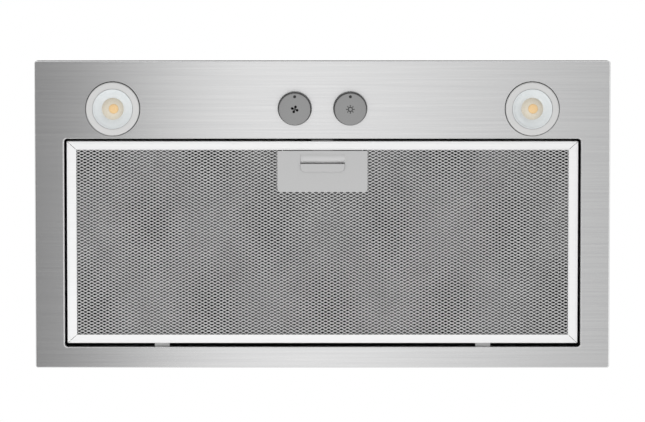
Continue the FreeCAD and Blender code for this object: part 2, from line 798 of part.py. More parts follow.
shaft_hole = size.shaft_radius + size.bearing_clearance
for name, side in SIDES:
    # volute: side plates and spiral wrapper, open at the top into the collar
    volute = new_body(name + "_volute", shaft_place)
    outside = sketch_on(volute, "YZ_Plane", volute_near * side)
    pad(volute, draw(outside, volute_outline(size.volute_sheet, outlet_top)),
        size.volute_width, forward=side > 0)
    passage = sketch_on(volute, "YZ_Plane", cavity_near * side)
    pocket(volute, draw(passage, volute_outline(0, outlet_top + OVERSHOOT)),
           cavity_far - cavity_near, forward=side > 0)
    inlet = sketch_on(volute, "YZ_Plane", volute_far * side)
    throat = size.wheel_radius - size.blade_depth - size.inlet_overlap
    inlet_hole = throat + size.inlet_roll
    circle(inlet, (0, 0), inlet_hole)
    pocket(volute, inlet, size.volute_sheet, forward=side < 0)
    nose = sketch_on(volute, "YZ_Plane", volute_near * side)
    circle(nose, (0, 0), size.hub_radius + size.hub_hole_gap)
    pocket(volute, nose, size.volute_sheet, forward=side > 0)

    # rolled inlet ring, turned round the shaft
    ring = new_body(name + "_inlet_ring", shaft_place)
    roll = size.inlet_roll
    back_roll = roll - size.volute_sheet
    flange_face = volute_far + size.volute_sheet
    arc_x = flange_face - roll
    ring_end = arc_x - size.inlet_throat
    outline = [
        (flange_face * side, inlet_hole + size.inlet_flange),
        (volute_far * side, inlet_hole + size.inlet_flange),
        (volute_far * side, inlet_hole), Turn(back_roll, left=side < 0),
        (arc_x * side, throat + size.volute_sheet),
        (ring_end * side, throat + size.volute_sheet),
        (ring_end * side, throat),
        (arc_x * side, throat), Turn(roll, left=side > 0),
        (flange_face * side, inlet_hole),
    ]
    revolve(ring, draw(sketch_on(ring, "XY_Plane"), outline), "X_Axis")

    # squirrel-cage wheel: back plate, hub, forward-curved blades and a front ring
    wheel = new_body(name + "_blower_wheel", shaft_place)
    wheel_near = cavity_near + size.wheel_side_gap
    wheel_far = wheel_near + size.wheel_plate + size.blade_length
    blade_in = size.wheel_radius - size.blade_depth
    plate = sketch_on(wheel, "YZ_Plane", wheel_near * side)
    circle(plate, (0, 0), size.wheel_radius)
    pad(wheel, plate, size.wheel_plate, forward=side > 0)
    hub = sketch_on(wheel, "YZ_Plane", wheel_near * side)
    circle(hub, (0, 0), size.hub_radius)
    pad(wheel, hub, size.hub_length, forward=side > 0)
    front = sketch_on(wheel, "YZ_Plane", (wheel_far - size.wheel_plate) * side)
    circle(front, (0, 0), size.wheel_radius)
    circle(front, (0, 0), size.wheel_radius - size.wheel_ring)
    pad(wheel, front, size.wheel_plate, forward=side > 0)
    bore = sketch_on(wheel, "YZ_Plane", wheel_near * side)
    circle(bore, (0, 0), size.shaft_radius + size.pin_clearance)
    pocket(wheel, bore, size.hub_length, forward=side > 0)
    screw_x = (wheel_near + size.set_screw_place) * side
    screw_hole = sketch_on(wheel, "XY_Plane", size.hub_radius + OVERSHOOT)
    circle(screw_hole, (screw_x, 0), size.set_screw_radius)
    pocket(wheel, screw_hole, size.hub_radius + OVERSHOOT)
    blade = sketch_on(wheel, "YZ_Plane", wheel_near * side)
    half_sheet = size.blade_sheet / 2
    tip = size.wheel_radius - half_sheet
    draw(blade, [
        (blade_in, -half_sheet), Turn(size.blade_curve), (tip, size.blade_lean),
        (tip - size.blade_sheet * sine(size.blade_tip_angle),
         size.blade_lean + size.blade_sheet * cosine(size.blade_tip_angle)),
        Turn(size.blade_curve - size.blade_sheet, left=False), (blade_in, half_sheet),
    ])
    blades = pad(wheel, blade, wheel_far - wheel_near, forward=side > 0)
    pattern = wheel.newObject("PartDesign::PolarPattern", wheel.Name + "_blades")
    pattern.Originals = [blades]
    line = next(item for item in wheel.Origin.OriginFeatures if item.Role == "X_Axis")
    pattern.Axis = (line, [""])
    pattern.Angle = 360
    bind(pattern, "Occurrences", size.blade_count)
    wheel.Tip = pattern
    doc.recompute()

    # end shield of the motor, dished and turned round the shaft
    shield = new_body(name + "_motor_shield", shaft_place)
    shield_face = size.motor_half_length + size.shield_depth
    outline = [
        (size.motor_half_length * side, shaft_hole),
        (shield_face * side, shaft_hole),
        (shield_face * side, size.shield_nose_radius),
        ((shield_face - size.shield_step) * side, size.shield_nose_radius),
        ((size.motor_half_length + size.shield_step) * side,
         size.motor_radius - size.shield_step),
        (size.motor_half_length * side, size.motor_radius),
    ]
    revolve(shield, draw(sketch_on(shield, "XY_Plane"), outline), "X_Axis")

shaft_half = cavity_near + size.wheel_side_gap + size.hub_length + size.shaft_tail
shaft_start = (-shaft_half, 0, size.shaft_height)
keep(cylinder("drive_shaft", size.shaft_radius, shaft_half * 2, shaft_start, "x"), "blower_shaft")

motor_can = cylinder("motor_can", size.motor_radius, size.motor_half_length * 2,
                     (-size.motor_half_length, 0, size.shaft_height), "x")
motor_bore = cylinder("motor_bore", shaft_hole, size.motor_half_length * 2,
                      (-size.motor_half_length, 0, size.shaft_height), "x")
keep(cut("motor_case", motor_can, [motor_bore]), "motor_case")

set_screws = []
screw_length = size.hub_radius + size.set_screw_stand - size.shaft_radius
for name, side in SIDES:
    screw_x = (wheel_near + size.set_screw_place) * side
    set_screws.append(cylinder("set_screw_" + name, size.set_screw_radius - size.pin_clearance,
                               screw_length, (screw_x, 0, size.shaft_height + size.shaft_radius)))
keep(group("set_screw_pair", set_screws), "wheel_set_screws")

# hanger: a band round the motor with two posts up to the roof
band_half = size.hanger_half_width
band = cylinder("hanger_band", size.motor_radius + size.hanger_sheet, band_half * 2,
                (-band_half, 0, size.shaft_height), "x")
hanger_parts = [band]
hanger_screws = []
hanger_holes = []
for name, side in (("front", -1), ("rear", 1)):
    post = sorted((size.hanger_post_place * side,
                   (size.hanger_post_place + size.hanger_sheet) * side), key=number_of)
    foot = sorted((size.hanger_post_place * side,
                   (size.hanger_post_place + size.hanger_foot) * side), key=number_of)
    hanger_parts.append(box("hanger_post_" + name, (-band_half, post[0], size.shaft_height),
                            (band_half, post[1], ceiling)))
    hanger_parts.append(box("hanger_foot_" + name,
                            (-band_half, foot[0], ceiling - size.hanger_sheet),
                            (band_half, foot[1], ceiling)))
    for step in (-1, 1):
        tag = "%s_%d" % (name, step + 1)
        spot = (band_half / 2 * step, (size.hanger_post_place + size.hanger_screw_place) * side)
        hanger_holes.append(cylinder("hanger_hole_" + tag, size.screw_radius,
                                     size.hanger_sheet, spot + (ceiling - size.hanger_sheet,)))
        shank = cylinder("hanger_shank_" + tag, size.screw_radius - size.pin_clearance,
                         size.hanger_sheet, spot + (ceiling - size.hanger_sheet,))
        head = cylinder("hanger_head_" + tag, size.screw_head, size.screw_head_height,
                        spot + (ceiling - size.hanger_sheet - size.screw_head_height,))
        hanger_screws.append(fuse("hanger_screw_" + tag, [shank, head]))
band_hole = cylinder("hanger_bore", size.motor_radius, band_half * 2,
                     (-band_half, 0, size.shaft_height), "x")
keep(cut("hanger", fuse("hanger_blank", hanger_parts), [band_hole] + hanger_holes),
     "motor_hanger")
keep(group("hanger_screw_set", hanger_screws), "motor_screws")


# ---------------------------------------------------------------- wiring

box_half = size.wiring_box_width / 2
box_low = ceiling - size.wiring_box_height
box_front = wiring_y - size.wiring_box_depth / 2
box_rear = wiring_y + size.wiring_box_depth / 2
wiring_box = new_body("wiring_box", (wiring_x, 0, 0))
pad(wiring_box, rectangle(sketch_on(wiring_box, "XY_Plane", box_low), (-box_half, box_front),
                          (box_half, box_rear)), size.wiring_box_height)
inner_half = box_half - size.box_sheet
pocket(wiring_box, rectangle(sketch_on(wiring_box, "XY_Plane", box_low),
                             (-inner_half, box_front + size.box_sheet),
                             (inner_half, box_rear - size.box_sheet)),
       size.wiring_box_height - size.box_sheet, forward=True)
entry = circle(sketch_on(wiring_box, "XY_Plane", ceiling), (0, wiring_y), size.knockout_radius)
pocket(wiring_box, entry, size.box_sheet)

lid = new_body("wiring_box_cover", (wiring_x, 0, 0))
pad(lid, rectangle(sketch_on(lid, "XY_Plane", box_low - size.box_sheet),
                   (-box_half, box_front), (box_half, box_rear)), size.box_sheet)
lid_gap = size.box_sheet + size.seat_gap
pad(lid, rectangle(sketch_on(lid, "XY_Plane", box_low),
                   (-(box_half - lid_gap), box_front + lid_gap),
                   (box_half - lid_gap, box_rear - lid_gap)), size.lid_rim)
lid_in = lid_gap + size.box_sheet
pocket(lid, rectangle(sketch_on(lid, "XY_Plane", box_low + size.lid_rim),
                      (-(box_half - lid_in), box_front + lid_in),
                      (box_half - lid_in, box_rear - lid_in)), size.lid_rim)

terminal_top = ceiling - size.box_sheet
terminal_y = box_front + size.box_sheet + size.terminal_depth / 2 + size.seat_gap
block = box("terminal_blank",
            (wiring_x - size.terminal_length / 2, terminal_y - size.terminal_depth / 2,
             terminal_top - size.terminal_height),
            (wiring_x + size.terminal_length / 2, terminal_y + size.terminal_depth / 2,
             terminal_top))
wells = []
for index in (-1, 0, 1):
    wells.append(cylinder("terminal_well_%d" % (index + 1), size.terminal_well_radius,
                          size.terminal_height / 2,
                          (wiring_x + size.terminal_length / 3 * index, terminal_y,
                           terminal_top - size.terminal_height)))
keep(cut("terminal", block, wells), "terminal_block")

capacitor_x = -wiring_x - size.capacitor_length / 2
capacitor_z = ceiling - size.capacitor_radius - size.clamp_sheet
capacitor_y = wiring_y
keep(cylinder("capacitor", size.capacitor_radius, size.capacitor_length,
              (capacitor_x, capacitor_y, capacitor_z), "x"), "run_capacitor")
clamp_radius = size.capacitor_radius + size.clamp_sheet
clamp_x = -wiring_x - size.clamp_width / 2
clamp_end = clamp_x + size.clamp_width
strap = cylinder("clamp_strap", clamp_radius, size.clamp_width,
                 (clamp_x, capacitor_y, capacitor_z), "x")
wings = box("clamp_wings",
            (clamp_x, capacitor_y - clamp_radius - size.clamp_wing, ceiling - size.clamp_sheet),
            (clamp_end, capacitor_y + clamp_radius + size.clamp_wing, ceiling))
strap_sides = box("clamp_sides", (clamp_x, capacitor_y - clamp_radius, capacitor_z),
                  (clamp_end, capacitor_y + clamp_radius, ceiling))
strap_space = box("clamp_space",
                  (clamp_x, capacitor_y - size.capacitor_radius, capacitor_z),
                  (clamp_end, capacitor_y + size.capacitor_radius, ceiling - size.clamp_sheet))
strap_bore = cylinder("clamp_bore", size.capacitor_radius + size.pin_clearance, size.clamp_width,
                      (clamp_x, capacitor_y, capacitor_z), "x")
keep(cut("clamp", fuse("clamp_blank", [strap, wings, strap_sides]), [strap_bore, strap_space]),
     "capacitor_clamp")


# ---------------------------------------------------------------- controls

# a bent cover parts the switches and lamps from the greasy air
cover_x = end_in - size.seat_gap
cover_front = size.shell_sheet + size.seat_gap - wall_in
cover_top = lip_top + size.cover_height
switch_cover = new_body("switch_cover")
bent = sketch_on(switch_cover, "YZ_Plane", -cover_x)
draw(bent, [
    (lip_front, lip_top), (opening_front, lip_top), (opening_front, cover_top),
    (cover_front, cover_top), (cover_front, cover_top - size.seam_flange),
    (cover_front + size.shell_sheet, cover_top - size.seam_flange),
    (cover_front + size.shell_sheet, cover_top - size.shell_sheet),
    (lip_front, cover_top - size.shell_sheet),
])
pad(switch_cover, bent, cover_x * 2)

spindle_low = face_low - size.knob_rise + size.knob_wall
nuts = []
for name, side in (("fan", -1), ("light", 1)):
    knob_x = size.knob_spacing / 2 * side
    switch_top = face_inside + size.switch_height
    switch_case = box(name + "_switch_case",
                      (knob_x - size.switch_width / 2, knob_y - size.switch_depth / 2,
                       face_inside),
                      (knob_x + size.switch_width / 2, knob_y + size.switch_depth / 2,
                       switch_top))
    bush = cylinder(name + "_switch_bush", size.bush_radius, size.bush_length,
                    (knob_x, knob_y, face_inside - size.bush_length))
    well = cylinder(name + "_switch_well", size.spindle_radius + size.bearing_clearance,
                    size.bush_length + size.switch_height / 2,
                    (knob_x, knob_y, face_inside - size.bush_length))
    keep(cut(name + "_rotary_switch", fuse(name + "_switch_blank", [switch_case, bush]), [well]),
         name + "_switch")

    nut = prism(name + "_nut_blank", size.switch_nut_size, size.switch_nut_height,
                (knob_x, knob_y, face_low - size.switch_nut_height))
    nut_bore = cylinder(name + "_nut_bore", size.bush_radius + size.pin_clearance,
                        size.switch_nut_height, (knob_x, knob_y,
                                                 face_low - size.switch_nut_height))
    nuts.append(cut(name + "_nut", nut, [nut_bore]))

    # the spindle has a flat where the knob's hub grips it
    spindle_top = face_inside + size.switch_height / 2 - size.seat_gap
    round_bar = cylinder(name + "_spindle_bar", size.spindle_radius, spindle_top - spindle_low,
                         (knob_x, knob_y, spindle_low))
    hub_top = face_inside - size.bush_length - size.knob_gap
    flat = box(name + "_spindle_flat",
               (knob_x - size.spindle_radius, knob_y + size.spindle_radius - size.spindle_flat,
                spindle_low),
               (knob_x + size.spindle_radius, knob_y + size.spindle_radius, hub_top))
    keep(cut(name + "_shaft", round_bar, [flat]), name + "_spindle")

    # knob: a drafted cap with a hub on the spindle, turned in section
    knob = new_body(name + "_knob", (knob_x, knob_y, 0))
    knob_low = face_low - size.knob_rise
    knob_high = face_low - size.knob_gap
    edge = size.knob_edge
    outline = [
        (0, knob_low), (size.knob_face_radius - edge, knob_low), Turn(edge),
        (size.knob_face_radius, knob_low + edge), (size.knob_base_radius, knob_high),
        (size.knob_base_radius - size.knob_wall, knob_high),
        (size.knob_face_radius - size.knob_wall, spindle_low),
        (size.knob_hub_radius, spindle_low), (size.knob_hub_radius, hub_top),
        (size.spindle_radius + size.pin_clearance, hub_top),
        (size.spindle_radius + size.pin_clearance, spindle_low - size.pin_clearance),
        (0, spindle_low - size.pin_clearance),
    ]
    revolve(knob, draw(sketch_on(knob, "XZ_Plane"), outline), "Z_Axis")
    key = sketch_on(knob, "XY_Plane", spindle_low - size.pin_clearance)
    flat_y = size.spindle_radius - size.spindle_flat + size.pin_clearance
    rectangle(key, (-size.spindle_radius, flat_y),
              (size.spindle_radius, (size.spindle_radius + size.knob_hub_radius) / 2))
    pad(knob, key, hub_top - spindle_low + size.pin_clearance)
keep(group("switch_nut_pair", nuts), "switch_nuts")


# ---------------------------------------------------------------- lamps

lamp_low = face_low - size.lamp_drop
for name, side in SIDES:
    place = (lamp_x * side, lamp_y, lamp_low)
    lamp_shell = new_body(name + "_lamp_shell", place)
    lens_radius = size.lamp_radius - size.lamp_rim
    neck = size.lamp_neck_radius
    wall = size.lamp_wall
    shelf = size.lens_thickness + size.seat_gap
    board_z = size.lamp_board_height
    outline = [
        (lens_radius, 0), (size.lamp_radius - wall, 0), Turn(wall), (size.lamp_radius, wall),
        (size.lamp_radius, size.lamp_skirt), (neck, size.lamp_cone_height),
        (neck, size.lamp_length),
        (0, size.lamp_length), (0, board_z), (size.lens_core_radius, board_z),
        (lens_radius - wall, shelf + wall), (lens_radius - wall, shelf), (lens_radius, shelf),
    ]
    revolve(lamp_shell, draw(sketch_on(lamp_shell, "XZ_Plane"), outline), "Z_Axis")

    lens = new_body(name + "_lamp_lens", place)
    lens_edge = lens_radius - size.pin_clearance
    core = size.lens_core_radius
    core_top = board_z - size.chip_radius
    outline = [
        (0, size.seat_gap), (lens_edge, size.seat_gap), (lens_edge, shelf),
        (core + wall, shelf), (size.chip_radius + wall, core_top), (0, core_top),
    ]
    revolve(lens, draw(sketch_on(lens, "XZ_Plane"), outline), "Z_Axis")

    led = new_body(name + "_lamp_led", place)
    dome = size.chip_radius
    board_low = board_z - wall
    outline = [
        (0, board_low - wall), (dome, board_low - wall), (dome, board_low),
        (core - wall, board_low), (core - wall, board_z), (0, board_z),
    ]
    revolve(led, draw(sketch_on(led, "XZ_Plane"), outline), "Z_Axis")

    holder = new_body(name + "_lamp_holder", place)
    holder_low = size.lamp_length - size.holder_height / 2
    holder_top = size.lamp_length + size.holder_height / 2
    holder_bore = neck + size.holder_clearance
    outline = [
        (holder_bore, holder_low), (size.holder_radius, holder_low),
        (size.holder_radius, holder_top), (0, holder_top), (0, size.lamp_length + size.seat_gap),
        (holder_bore, size.lamp_length + size.seat_gap),
    ]
    revolve(holder, draw(sketch_on(holder, "XZ_Plane"), outline), "Z_Axis")

    # a bridge over the lamp, bent from strip, with its feet on the faceplate
    bracket = new_body(name + "_lamp_bracket", place)
    strip = sketch_on(bracket, "XZ_Plane", size.lamp_bracket_depth / 2)
    floor = face_inside - lamp_low
    half = size.lamp_bracket_half_width
    inner = half - size.lamp_bracket_sheet
    foot_end = half + size.lamp_bracket_foot
    foot_top = floor + size.lamp_bracket_sheet
    bridge_top = holder_top + size.lamp_bracket_sheet
    draw(strip, [
        (-foot_end, floor), (-inner, floor), (-inner, holder_top), (inner, holder_top),
        (inner, floor), (foot_end, floor), (foot_end, foot_top), (half, foot_top),
        (half, bridge_top), (-half, bridge_top), (-half, foot_top), (-foot_end, foot_top),
    ])
    pad(bracket, strip, size.lamp_bracket_depth, forward=False)


# ---------------------------------------------------------------- grease filter

frame = new_body("filter_frame", (0, 0, frame_low))
pad(frame, rectangle(sketch_on(frame, "XY_Plane"), (-frame_half, frame_front),
                     (frame_half, frame_rear)), size.filter_thickness)
fillet(frame, size.filter_sheet, lambda edge: edge.BoundBox.ZLength < 1e-4)
pocket(frame, rectangle(sketch_on(frame, "XY_Plane", size.filter_thickness - size.filter_sheet),
                        (-channel_half, channel_front), (channel_half, channel_rear)),
       size.filter_thickness - size.filter_sheet * 2)
window_x = frame_half - size.side_rail
window_front = frame_front + size.end_rail
window_rear = frame_rear - size.end_rail
pocket(frame, rectangle(sketch_on(frame, "XY_Plane", size.filter_thickness),
                        (-window_x, window_front), (window_x, window_rear)),
       size.filter_thickness)
# mitre cuts part the flanges at the corners, where the strip is folded
mitres = sketch_on(frame, "XY_Plane", size.filter_thickness)
half_mitre = size.mitre_gap / 2
for side in (-1, 1):
    for window_y, channel_y, step in ((window_front, channel_front, -1),
                                      (window_rear, channel_rear, 1)):
        draw(mitres, [
            (window_x * side, window_y - size.mitre_gap * step),
            (channel_half * side, channel_y - half_mitre * step),
            ((channel_half - half_mitre) * side, channel_y),
            ((window_x - size.mitre_gap) * side, window_y),
        ])
pocket(frame, mitres, size.filter_thickness)
bolt_window = sketch_on(frame, "XZ_Plane", OVERSHOOT - channel_front)
window_half = bolt_half + size.slot_clearance
rectangle(bolt_window, (-window_half, bolt_low - frame_low - size.slot_clearance),
          (window_half, bolt_top - frame_low + size.slot_clearance))
pocket(frame, bolt_window, size.filter_sheet + OVERSHOOT * 2)
tab_windows = sketch_on(frame, "XZ_Plane", OVERSHOOT - frame_rear)
tab_half = size.tab_width / 2
window_half = tab_half + size.tab_clearance
tab_rise = tab_low - frame_low
for side in (-1, 1):
    tab_x = size.tab_spacing / 2 * side
    rectangle(tab_windows, (tab_x - window_half, tab_rise - size.tab_clearance),
              (tab_x + window_half, tab_rise + size.filter_sheet + size.tab_clearance))
pocket(frame, tab_windows, size.filter_sheet + OVERSHOOT * 2)

tabs = []
tab_tip = opening_rear + size.tab_reach
for name, side in SIDES:
    tab_x = size.tab_spacing / 2 * side
    tongue = box("tab_tongue_" + name, (tab_x - tab_half, channel_rear - size.filter_sheet, tab_low),
                 (tab_x + tab_half, tab_tip, tab_low + size.filter_sheet))
    leg = box("tab_leg_" + name, (tab_x - tab_half, channel_rear - size.filter_sheet, tab_low),
              (tab_x + tab_half, channel_rear, tab_low + size.tab_leg))
    tabs.append(fuse("rear_tab_" + name, [tongue, leg]))
keep(group("rear_tab_pair", tabs), "filter_rear_tabs")

# the mesh pack: two outer sheets and a crimped pad, all notched for the latch
mesh_half = channel_half - size.mesh_edge_gap
mesh_front = channel_front + size.mesh_edge_gap
mesh_rear = channel_rear - size.filter_sheet - size.mesh_edge_gap
tray_half = size.tray_width / 2
tray_front = plate_front - size.plate_gap
tray_rear = tray_front + size.tray_length
front_mesh_low = plate_top + size.mesh_gap
back_mesh_top = channel_top - size.mesh_gap
notch_half = tray_half + size.mesh_gap
notch_front = tray_front - size.mesh_gap
notch_rear = tray_rear + size.mesh_gap


def notch_mesh(body, low, height):
    """Cut away the mesh where the latch's tray and bolt lie."""
    notch = sketch_on(body, "XY_Plane", low + height + OVERSHOOT)
    draw(notch, [
        (-bolt_room, mesh_front - OVERSHOOT), (bolt_room, mesh_front - OVERSHOOT),
        (bolt_room, notch_front), (notch_half, notch_front), (notch_half, notch_rear),
        (-notch_half, notch_rear), (-notch_half, notch_front), (-bolt_room, notch_front),
    ])
    pocket(body, notch, height + OVERSHOOT * 2)


for name, low in (("front", front_mesh_low), ("back", back_mesh_top - size.mesh_sheet)):
    mesh = new_body("filter_mesh_" + name)
    pad(mesh, rectangle(sketch_on(mesh, "XY_Plane", low), (-mesh_half, mesh_front),
                        (mesh_half, mesh_rear)), size.mesh_sheet)
    notch_mesh(mesh, low, size.mesh_sheet)

pad_low = front_mesh_low + size.mesh_sheet + size.mesh_gap
pad_high = back_mesh_top - size.mesh_sheet - size.mesh_gap
wave_rise = pad_high - pad_low - size.mesh_sheet
mesh_pad = new_body("filter_mesh_pad")
waves = int(mesh_half.number * 2 // size.mesh_wave.number)
step = mesh_half * 2 / waves
lower = []
upper = []
for index in range(waves + 1):
    height = pad_low + wave_rise * (index % 2)
    lower.append((step * index - mesh_half, height))
    upper.append((step * index - mesh_half, height + size.mesh_sheet))
crimp = sketch_on(mesh_pad, "XZ_Plane", -mesh_front)
draw(crimp, lower + upper[::-1])
pad(mesh_pad, crimp, mesh_rear - mesh_front, forward=False)
notch_mesh(mesh_pad, pad_low, pad_high - pad_low)


# ---------------------------------------------------------------- filter latch

# tray: holds the latch in the mesh pack; slots in its cheeks guide the plate's ears
tray = new_body("latch_tray")
tray_low = plate_top + size.mesh_gap
tray_top = back_mesh_top
pad(tray, rectangle(sketch_on(tray, "XY_Plane", tray_low), (-tray_half, tray_front),
                    (tray_half, tray_rear)), tray_top - tray_low)
tray_in = tray_half - size.filter_sheet
pocket(tray, rectangle(sketch_on(tray, "XY_Plane", tray_low),
                       (-tray_in, tray_front - OVERSHOOT),
                       (tray_in, tray_rear - size.filter_sheet)),
       tray_top - tray_low - size.filter_sheet, forward=True)
ear_front = plate_front + size.grip_setback
ear_low = bolt_low
slot = sketch_on(tray, "YZ_Plane", tray_half)
rectangle(slot, (ear_front - size.slot_clearance, ear_low - size.slot_clearance),
          (ear_front + size.ear_length + size.latch_travel + size.slot_clearance,
           ear_low + size.filter_sheet + size.slot_clearance))
pocket(tray, slot, size.tray_width)

# sliding plate: pressed finger grip, bolt at the front, ears at the sides
latch = new_body("latch_plate")
plate_half = size.plate_width / 2
corner = size.plate_corner
pad(latch, draw(sketch_on(latch, "XY_Plane", plate_low), [
    (-plate_half, plate_front), (plate_half, plate_front), (plate_half, plate_rear - corner),
    Turn(corner), (plate_half - corner, plate_rear), (corner - plate_half, plate_rear),
    Turn(corner), (-plate_half, plate_rear - corner),
]), size.filter_sheet)
grip_half = size.grip_width / 2
leaf = size.filter_sheet
ramp_front = plate_front + size.grip_setback
ramp_rear = ramp_front + size.grip_ramp
grip_rear = ramp_rear + size.grip_lip_length
ramp_deep = plate_low + size.grip_depth
# the ramp's back
back = sketch_on(latch, "YZ_Plane", -(grip_half + leaf))
draw(back, [
    (ramp_front - leaf, plate_top), (ramp_rear, plate_top), (ramp_rear, ramp_deep + leaf),
    (ramp_rear - leaf, ramp_deep + leaf),
])
pad(latch, back, size.grip_width + leaf * 2)
# the raised lip that the finger hooks under
bend = size.grip_corner
lip_low = plate_low - size.grip_lip_rise
pad(latch, draw(sketch_on(latch, "XY_Plane", lip_low), [
    (-grip_half, ramp_rear), (grip_half, ramp_rear), (grip_half, grip_rear - bend),
    Turn(bend), (grip_half - bend, grip_rear), (bend - grip_half, grip_rear),
    Turn(bend), (-grip_half, grip_rear - bend),
]), size.grip_lip_rise)
fillet(latch, size.grip_lip_rise / 2,
       lambda edge: level_at(edge, lip_low) and edge.CenterOfMass.y > ramp_rear.number + 1e-3)
# hollow of the ramp, then of the lip
hollow = sketch_on(latch, "YZ_Plane", -grip_half)
draw(hollow, [
    (ramp_front, plate_low), (ramp_front, plate_low - leaf), (ramp_rear, plate_low - leaf),
    (ramp_rear, ramp_deep),
])
pocket(latch, hollow, size.grip_width, forward=True)
grip_in = grip_half - leaf
inner_bend = bend - leaf
pocket(latch, draw(sketch_on(latch, "XY_Plane", lip_low + leaf), [
    (-grip_in, ramp_rear - leaf), (grip_in, ramp_rear - leaf), (grip_in, grip_rear - bend),
    Turn(inner_bend), (grip_in - inner_bend, grip_rear - leaf), (inner_bend - grip_in, grip_rear - leaf),
    Turn(inner_bend), (-grip_in, grip_rear - bend),
]), size.grip_lip_rise + size.grip_depth, forward=True)
# bolt: up from the front edge, then forward through the rail and the faceplate's lip
bolt_tip = lip_front - size.bolt_reach
bolt = sketch_on(latch, "YZ_Plane", -bolt_half)
draw(bolt, [
    (plate_front, plate_low), (plate_front + leaf, plate_low), (plate_front + leaf, bolt_top),
    (bolt_tip, bolt_top), (bolt_tip, bolt_low), (plate_front, bolt_low),
])
pad(latch, bolt, size.bolt_width)
# cheeks with ears that run in the tray's slots
for side in (-1, 1):
    cheek_out = tray_in - size.slot_clearance
    ends = sorted((cheek_out * side, (cheek_out - leaf) * side), key=number_of)
    cheek = sketch_on(latch, "XY_Plane", plate_low)
    rectangle(cheek, (ends[0], ear_front), (ends[1], ear_front + size.ear_length))
    pad(latch, cheek, bolt_top - plate_low)
    ear = sketch_on(latch, "XY_Plane", ear_low)
    ends = sorted(((cheek_out - leaf) * side, tray_half * side), key=number_of)
    rectangle(ear, (ends[0], ear_front), (ends[1], ear_front + size.ear_length))
    pad(latch, ear, leaf)
# a hook behind the grip takes the spring
hook = sketch_on(latch, "XY_Plane", plate_low)
rectangle(hook, (-size.spring_radius * 2, grip_rear), (size.spring_radius * 2, grip_rear + leaf))
pad(latch, hook, tray_top - plate_low - leaf - size.slot_clearance)

# compression spring between the hook and the tray's rear wall
spring_start = (grip_rear + leaf).number
spring_end = (tray_rear - size.filter_sheet).number
spring_z = ((plate_top + tray_top - size.filter_sheet) / 2).number
wire = size.spring_wire.number / 2
coil_radius = size.spring_radius.number - wire
pitch = (spring_end - spring_start - wire * 2) / size.spring_turns.number
helix = Part.makeHelix(pitch, pitch * size.spring_turns.number, coil_radius)
helix_start = Part.Circle(Vector(coil_radius, 0, 0), Vector(0, 1, 0), wire)
coil = Part.Wire(helix.Edges).makePipeShell([Part.Wire(helix_start.toShape())], True, True)
spring = doc.addObject("Part::Feature", "spring_coil")
spring.Shape = coil
spring.Placement = FreeCAD.Placement(Vector(0, spring_start + wire, spring_z), ALONG["y"])
keep(spring, "latch_spring")


# ---------------------------------------------------------------- check and write

doc.recompute()
for item in doc.Objects:
    if "Invalid" in item.State or "Error" in item.State:
        raise RuntimeError("%s is %s" % (item.Label, ", ".join(item.State)))
for item in pieces:
    if item.Shape.isNull() or not item.Shape.isValid() or not item.Shape.Solids:
        raise RuntimeError("%s has no sound shape" % item.Label)

os.makedirs("parts", exist_ok=True)
for item in pieces:
    item.Shape.exportStep("parts/%s.step" % item.Label)
    extent = item.Shape.BoundBox
    print("%-22s %2d solid(s)  %9.1f mm3  x %7.1f %7.1f  y %7.1f %7.1f  z %7.1f %7.1f" % (
        item.Label, len(item.Shape.Solids), item.Shape.Volume, extent.XMin, extent.XMax,
        extent.YMin, extent.YMax, extent.ZMin, extent.ZMax))
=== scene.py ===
import math

import bmesh
import bpy
from mathutils import Matrix, Vector


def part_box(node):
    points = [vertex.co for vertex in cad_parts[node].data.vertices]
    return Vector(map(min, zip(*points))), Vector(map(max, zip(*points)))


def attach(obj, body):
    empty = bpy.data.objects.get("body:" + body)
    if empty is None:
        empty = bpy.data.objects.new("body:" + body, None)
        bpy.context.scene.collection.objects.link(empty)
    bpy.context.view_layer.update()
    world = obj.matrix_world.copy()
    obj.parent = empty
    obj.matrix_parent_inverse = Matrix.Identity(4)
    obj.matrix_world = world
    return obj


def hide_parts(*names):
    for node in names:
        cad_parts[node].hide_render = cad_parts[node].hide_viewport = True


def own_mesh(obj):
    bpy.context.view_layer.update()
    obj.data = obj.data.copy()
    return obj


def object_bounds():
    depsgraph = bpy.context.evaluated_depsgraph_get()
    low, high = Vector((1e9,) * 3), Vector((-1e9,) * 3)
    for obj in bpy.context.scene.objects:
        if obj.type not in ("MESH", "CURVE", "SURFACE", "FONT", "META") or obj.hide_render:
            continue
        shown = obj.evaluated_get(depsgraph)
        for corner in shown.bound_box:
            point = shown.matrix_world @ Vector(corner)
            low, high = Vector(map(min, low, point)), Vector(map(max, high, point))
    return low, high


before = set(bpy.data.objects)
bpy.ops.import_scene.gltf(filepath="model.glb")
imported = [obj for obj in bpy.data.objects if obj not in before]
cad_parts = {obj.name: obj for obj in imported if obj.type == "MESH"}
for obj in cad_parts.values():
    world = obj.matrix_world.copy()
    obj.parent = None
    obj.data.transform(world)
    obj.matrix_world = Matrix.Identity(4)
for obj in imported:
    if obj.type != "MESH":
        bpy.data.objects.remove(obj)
cad_low, cad_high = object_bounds()


# ---- Studio
# A long lens looks up from a little in front.  The pale floor lets light and the camera
# through from below.  Only what shines sees the softbox, whose stops shape the sheen of
# the faceplate, and the flag, which darkens the near edge.

CAMERA_AIM = Vector((0, -0.0036, -0.012))
CAMERA_TILT = math.radians(4.5)
CAMERA_DISTANCE = 3.9
CAMERA_LENS = 231.9
SURROUND_GREY = 0.62
FLOOR_DROP = 0.17
FLOOR_HALF = 6
FLAG_GAP = 0.031
FLAG_REACH = 0.03
SOFTBOX_DROP = 0.5
SOFTBOX_HALF = 1.0
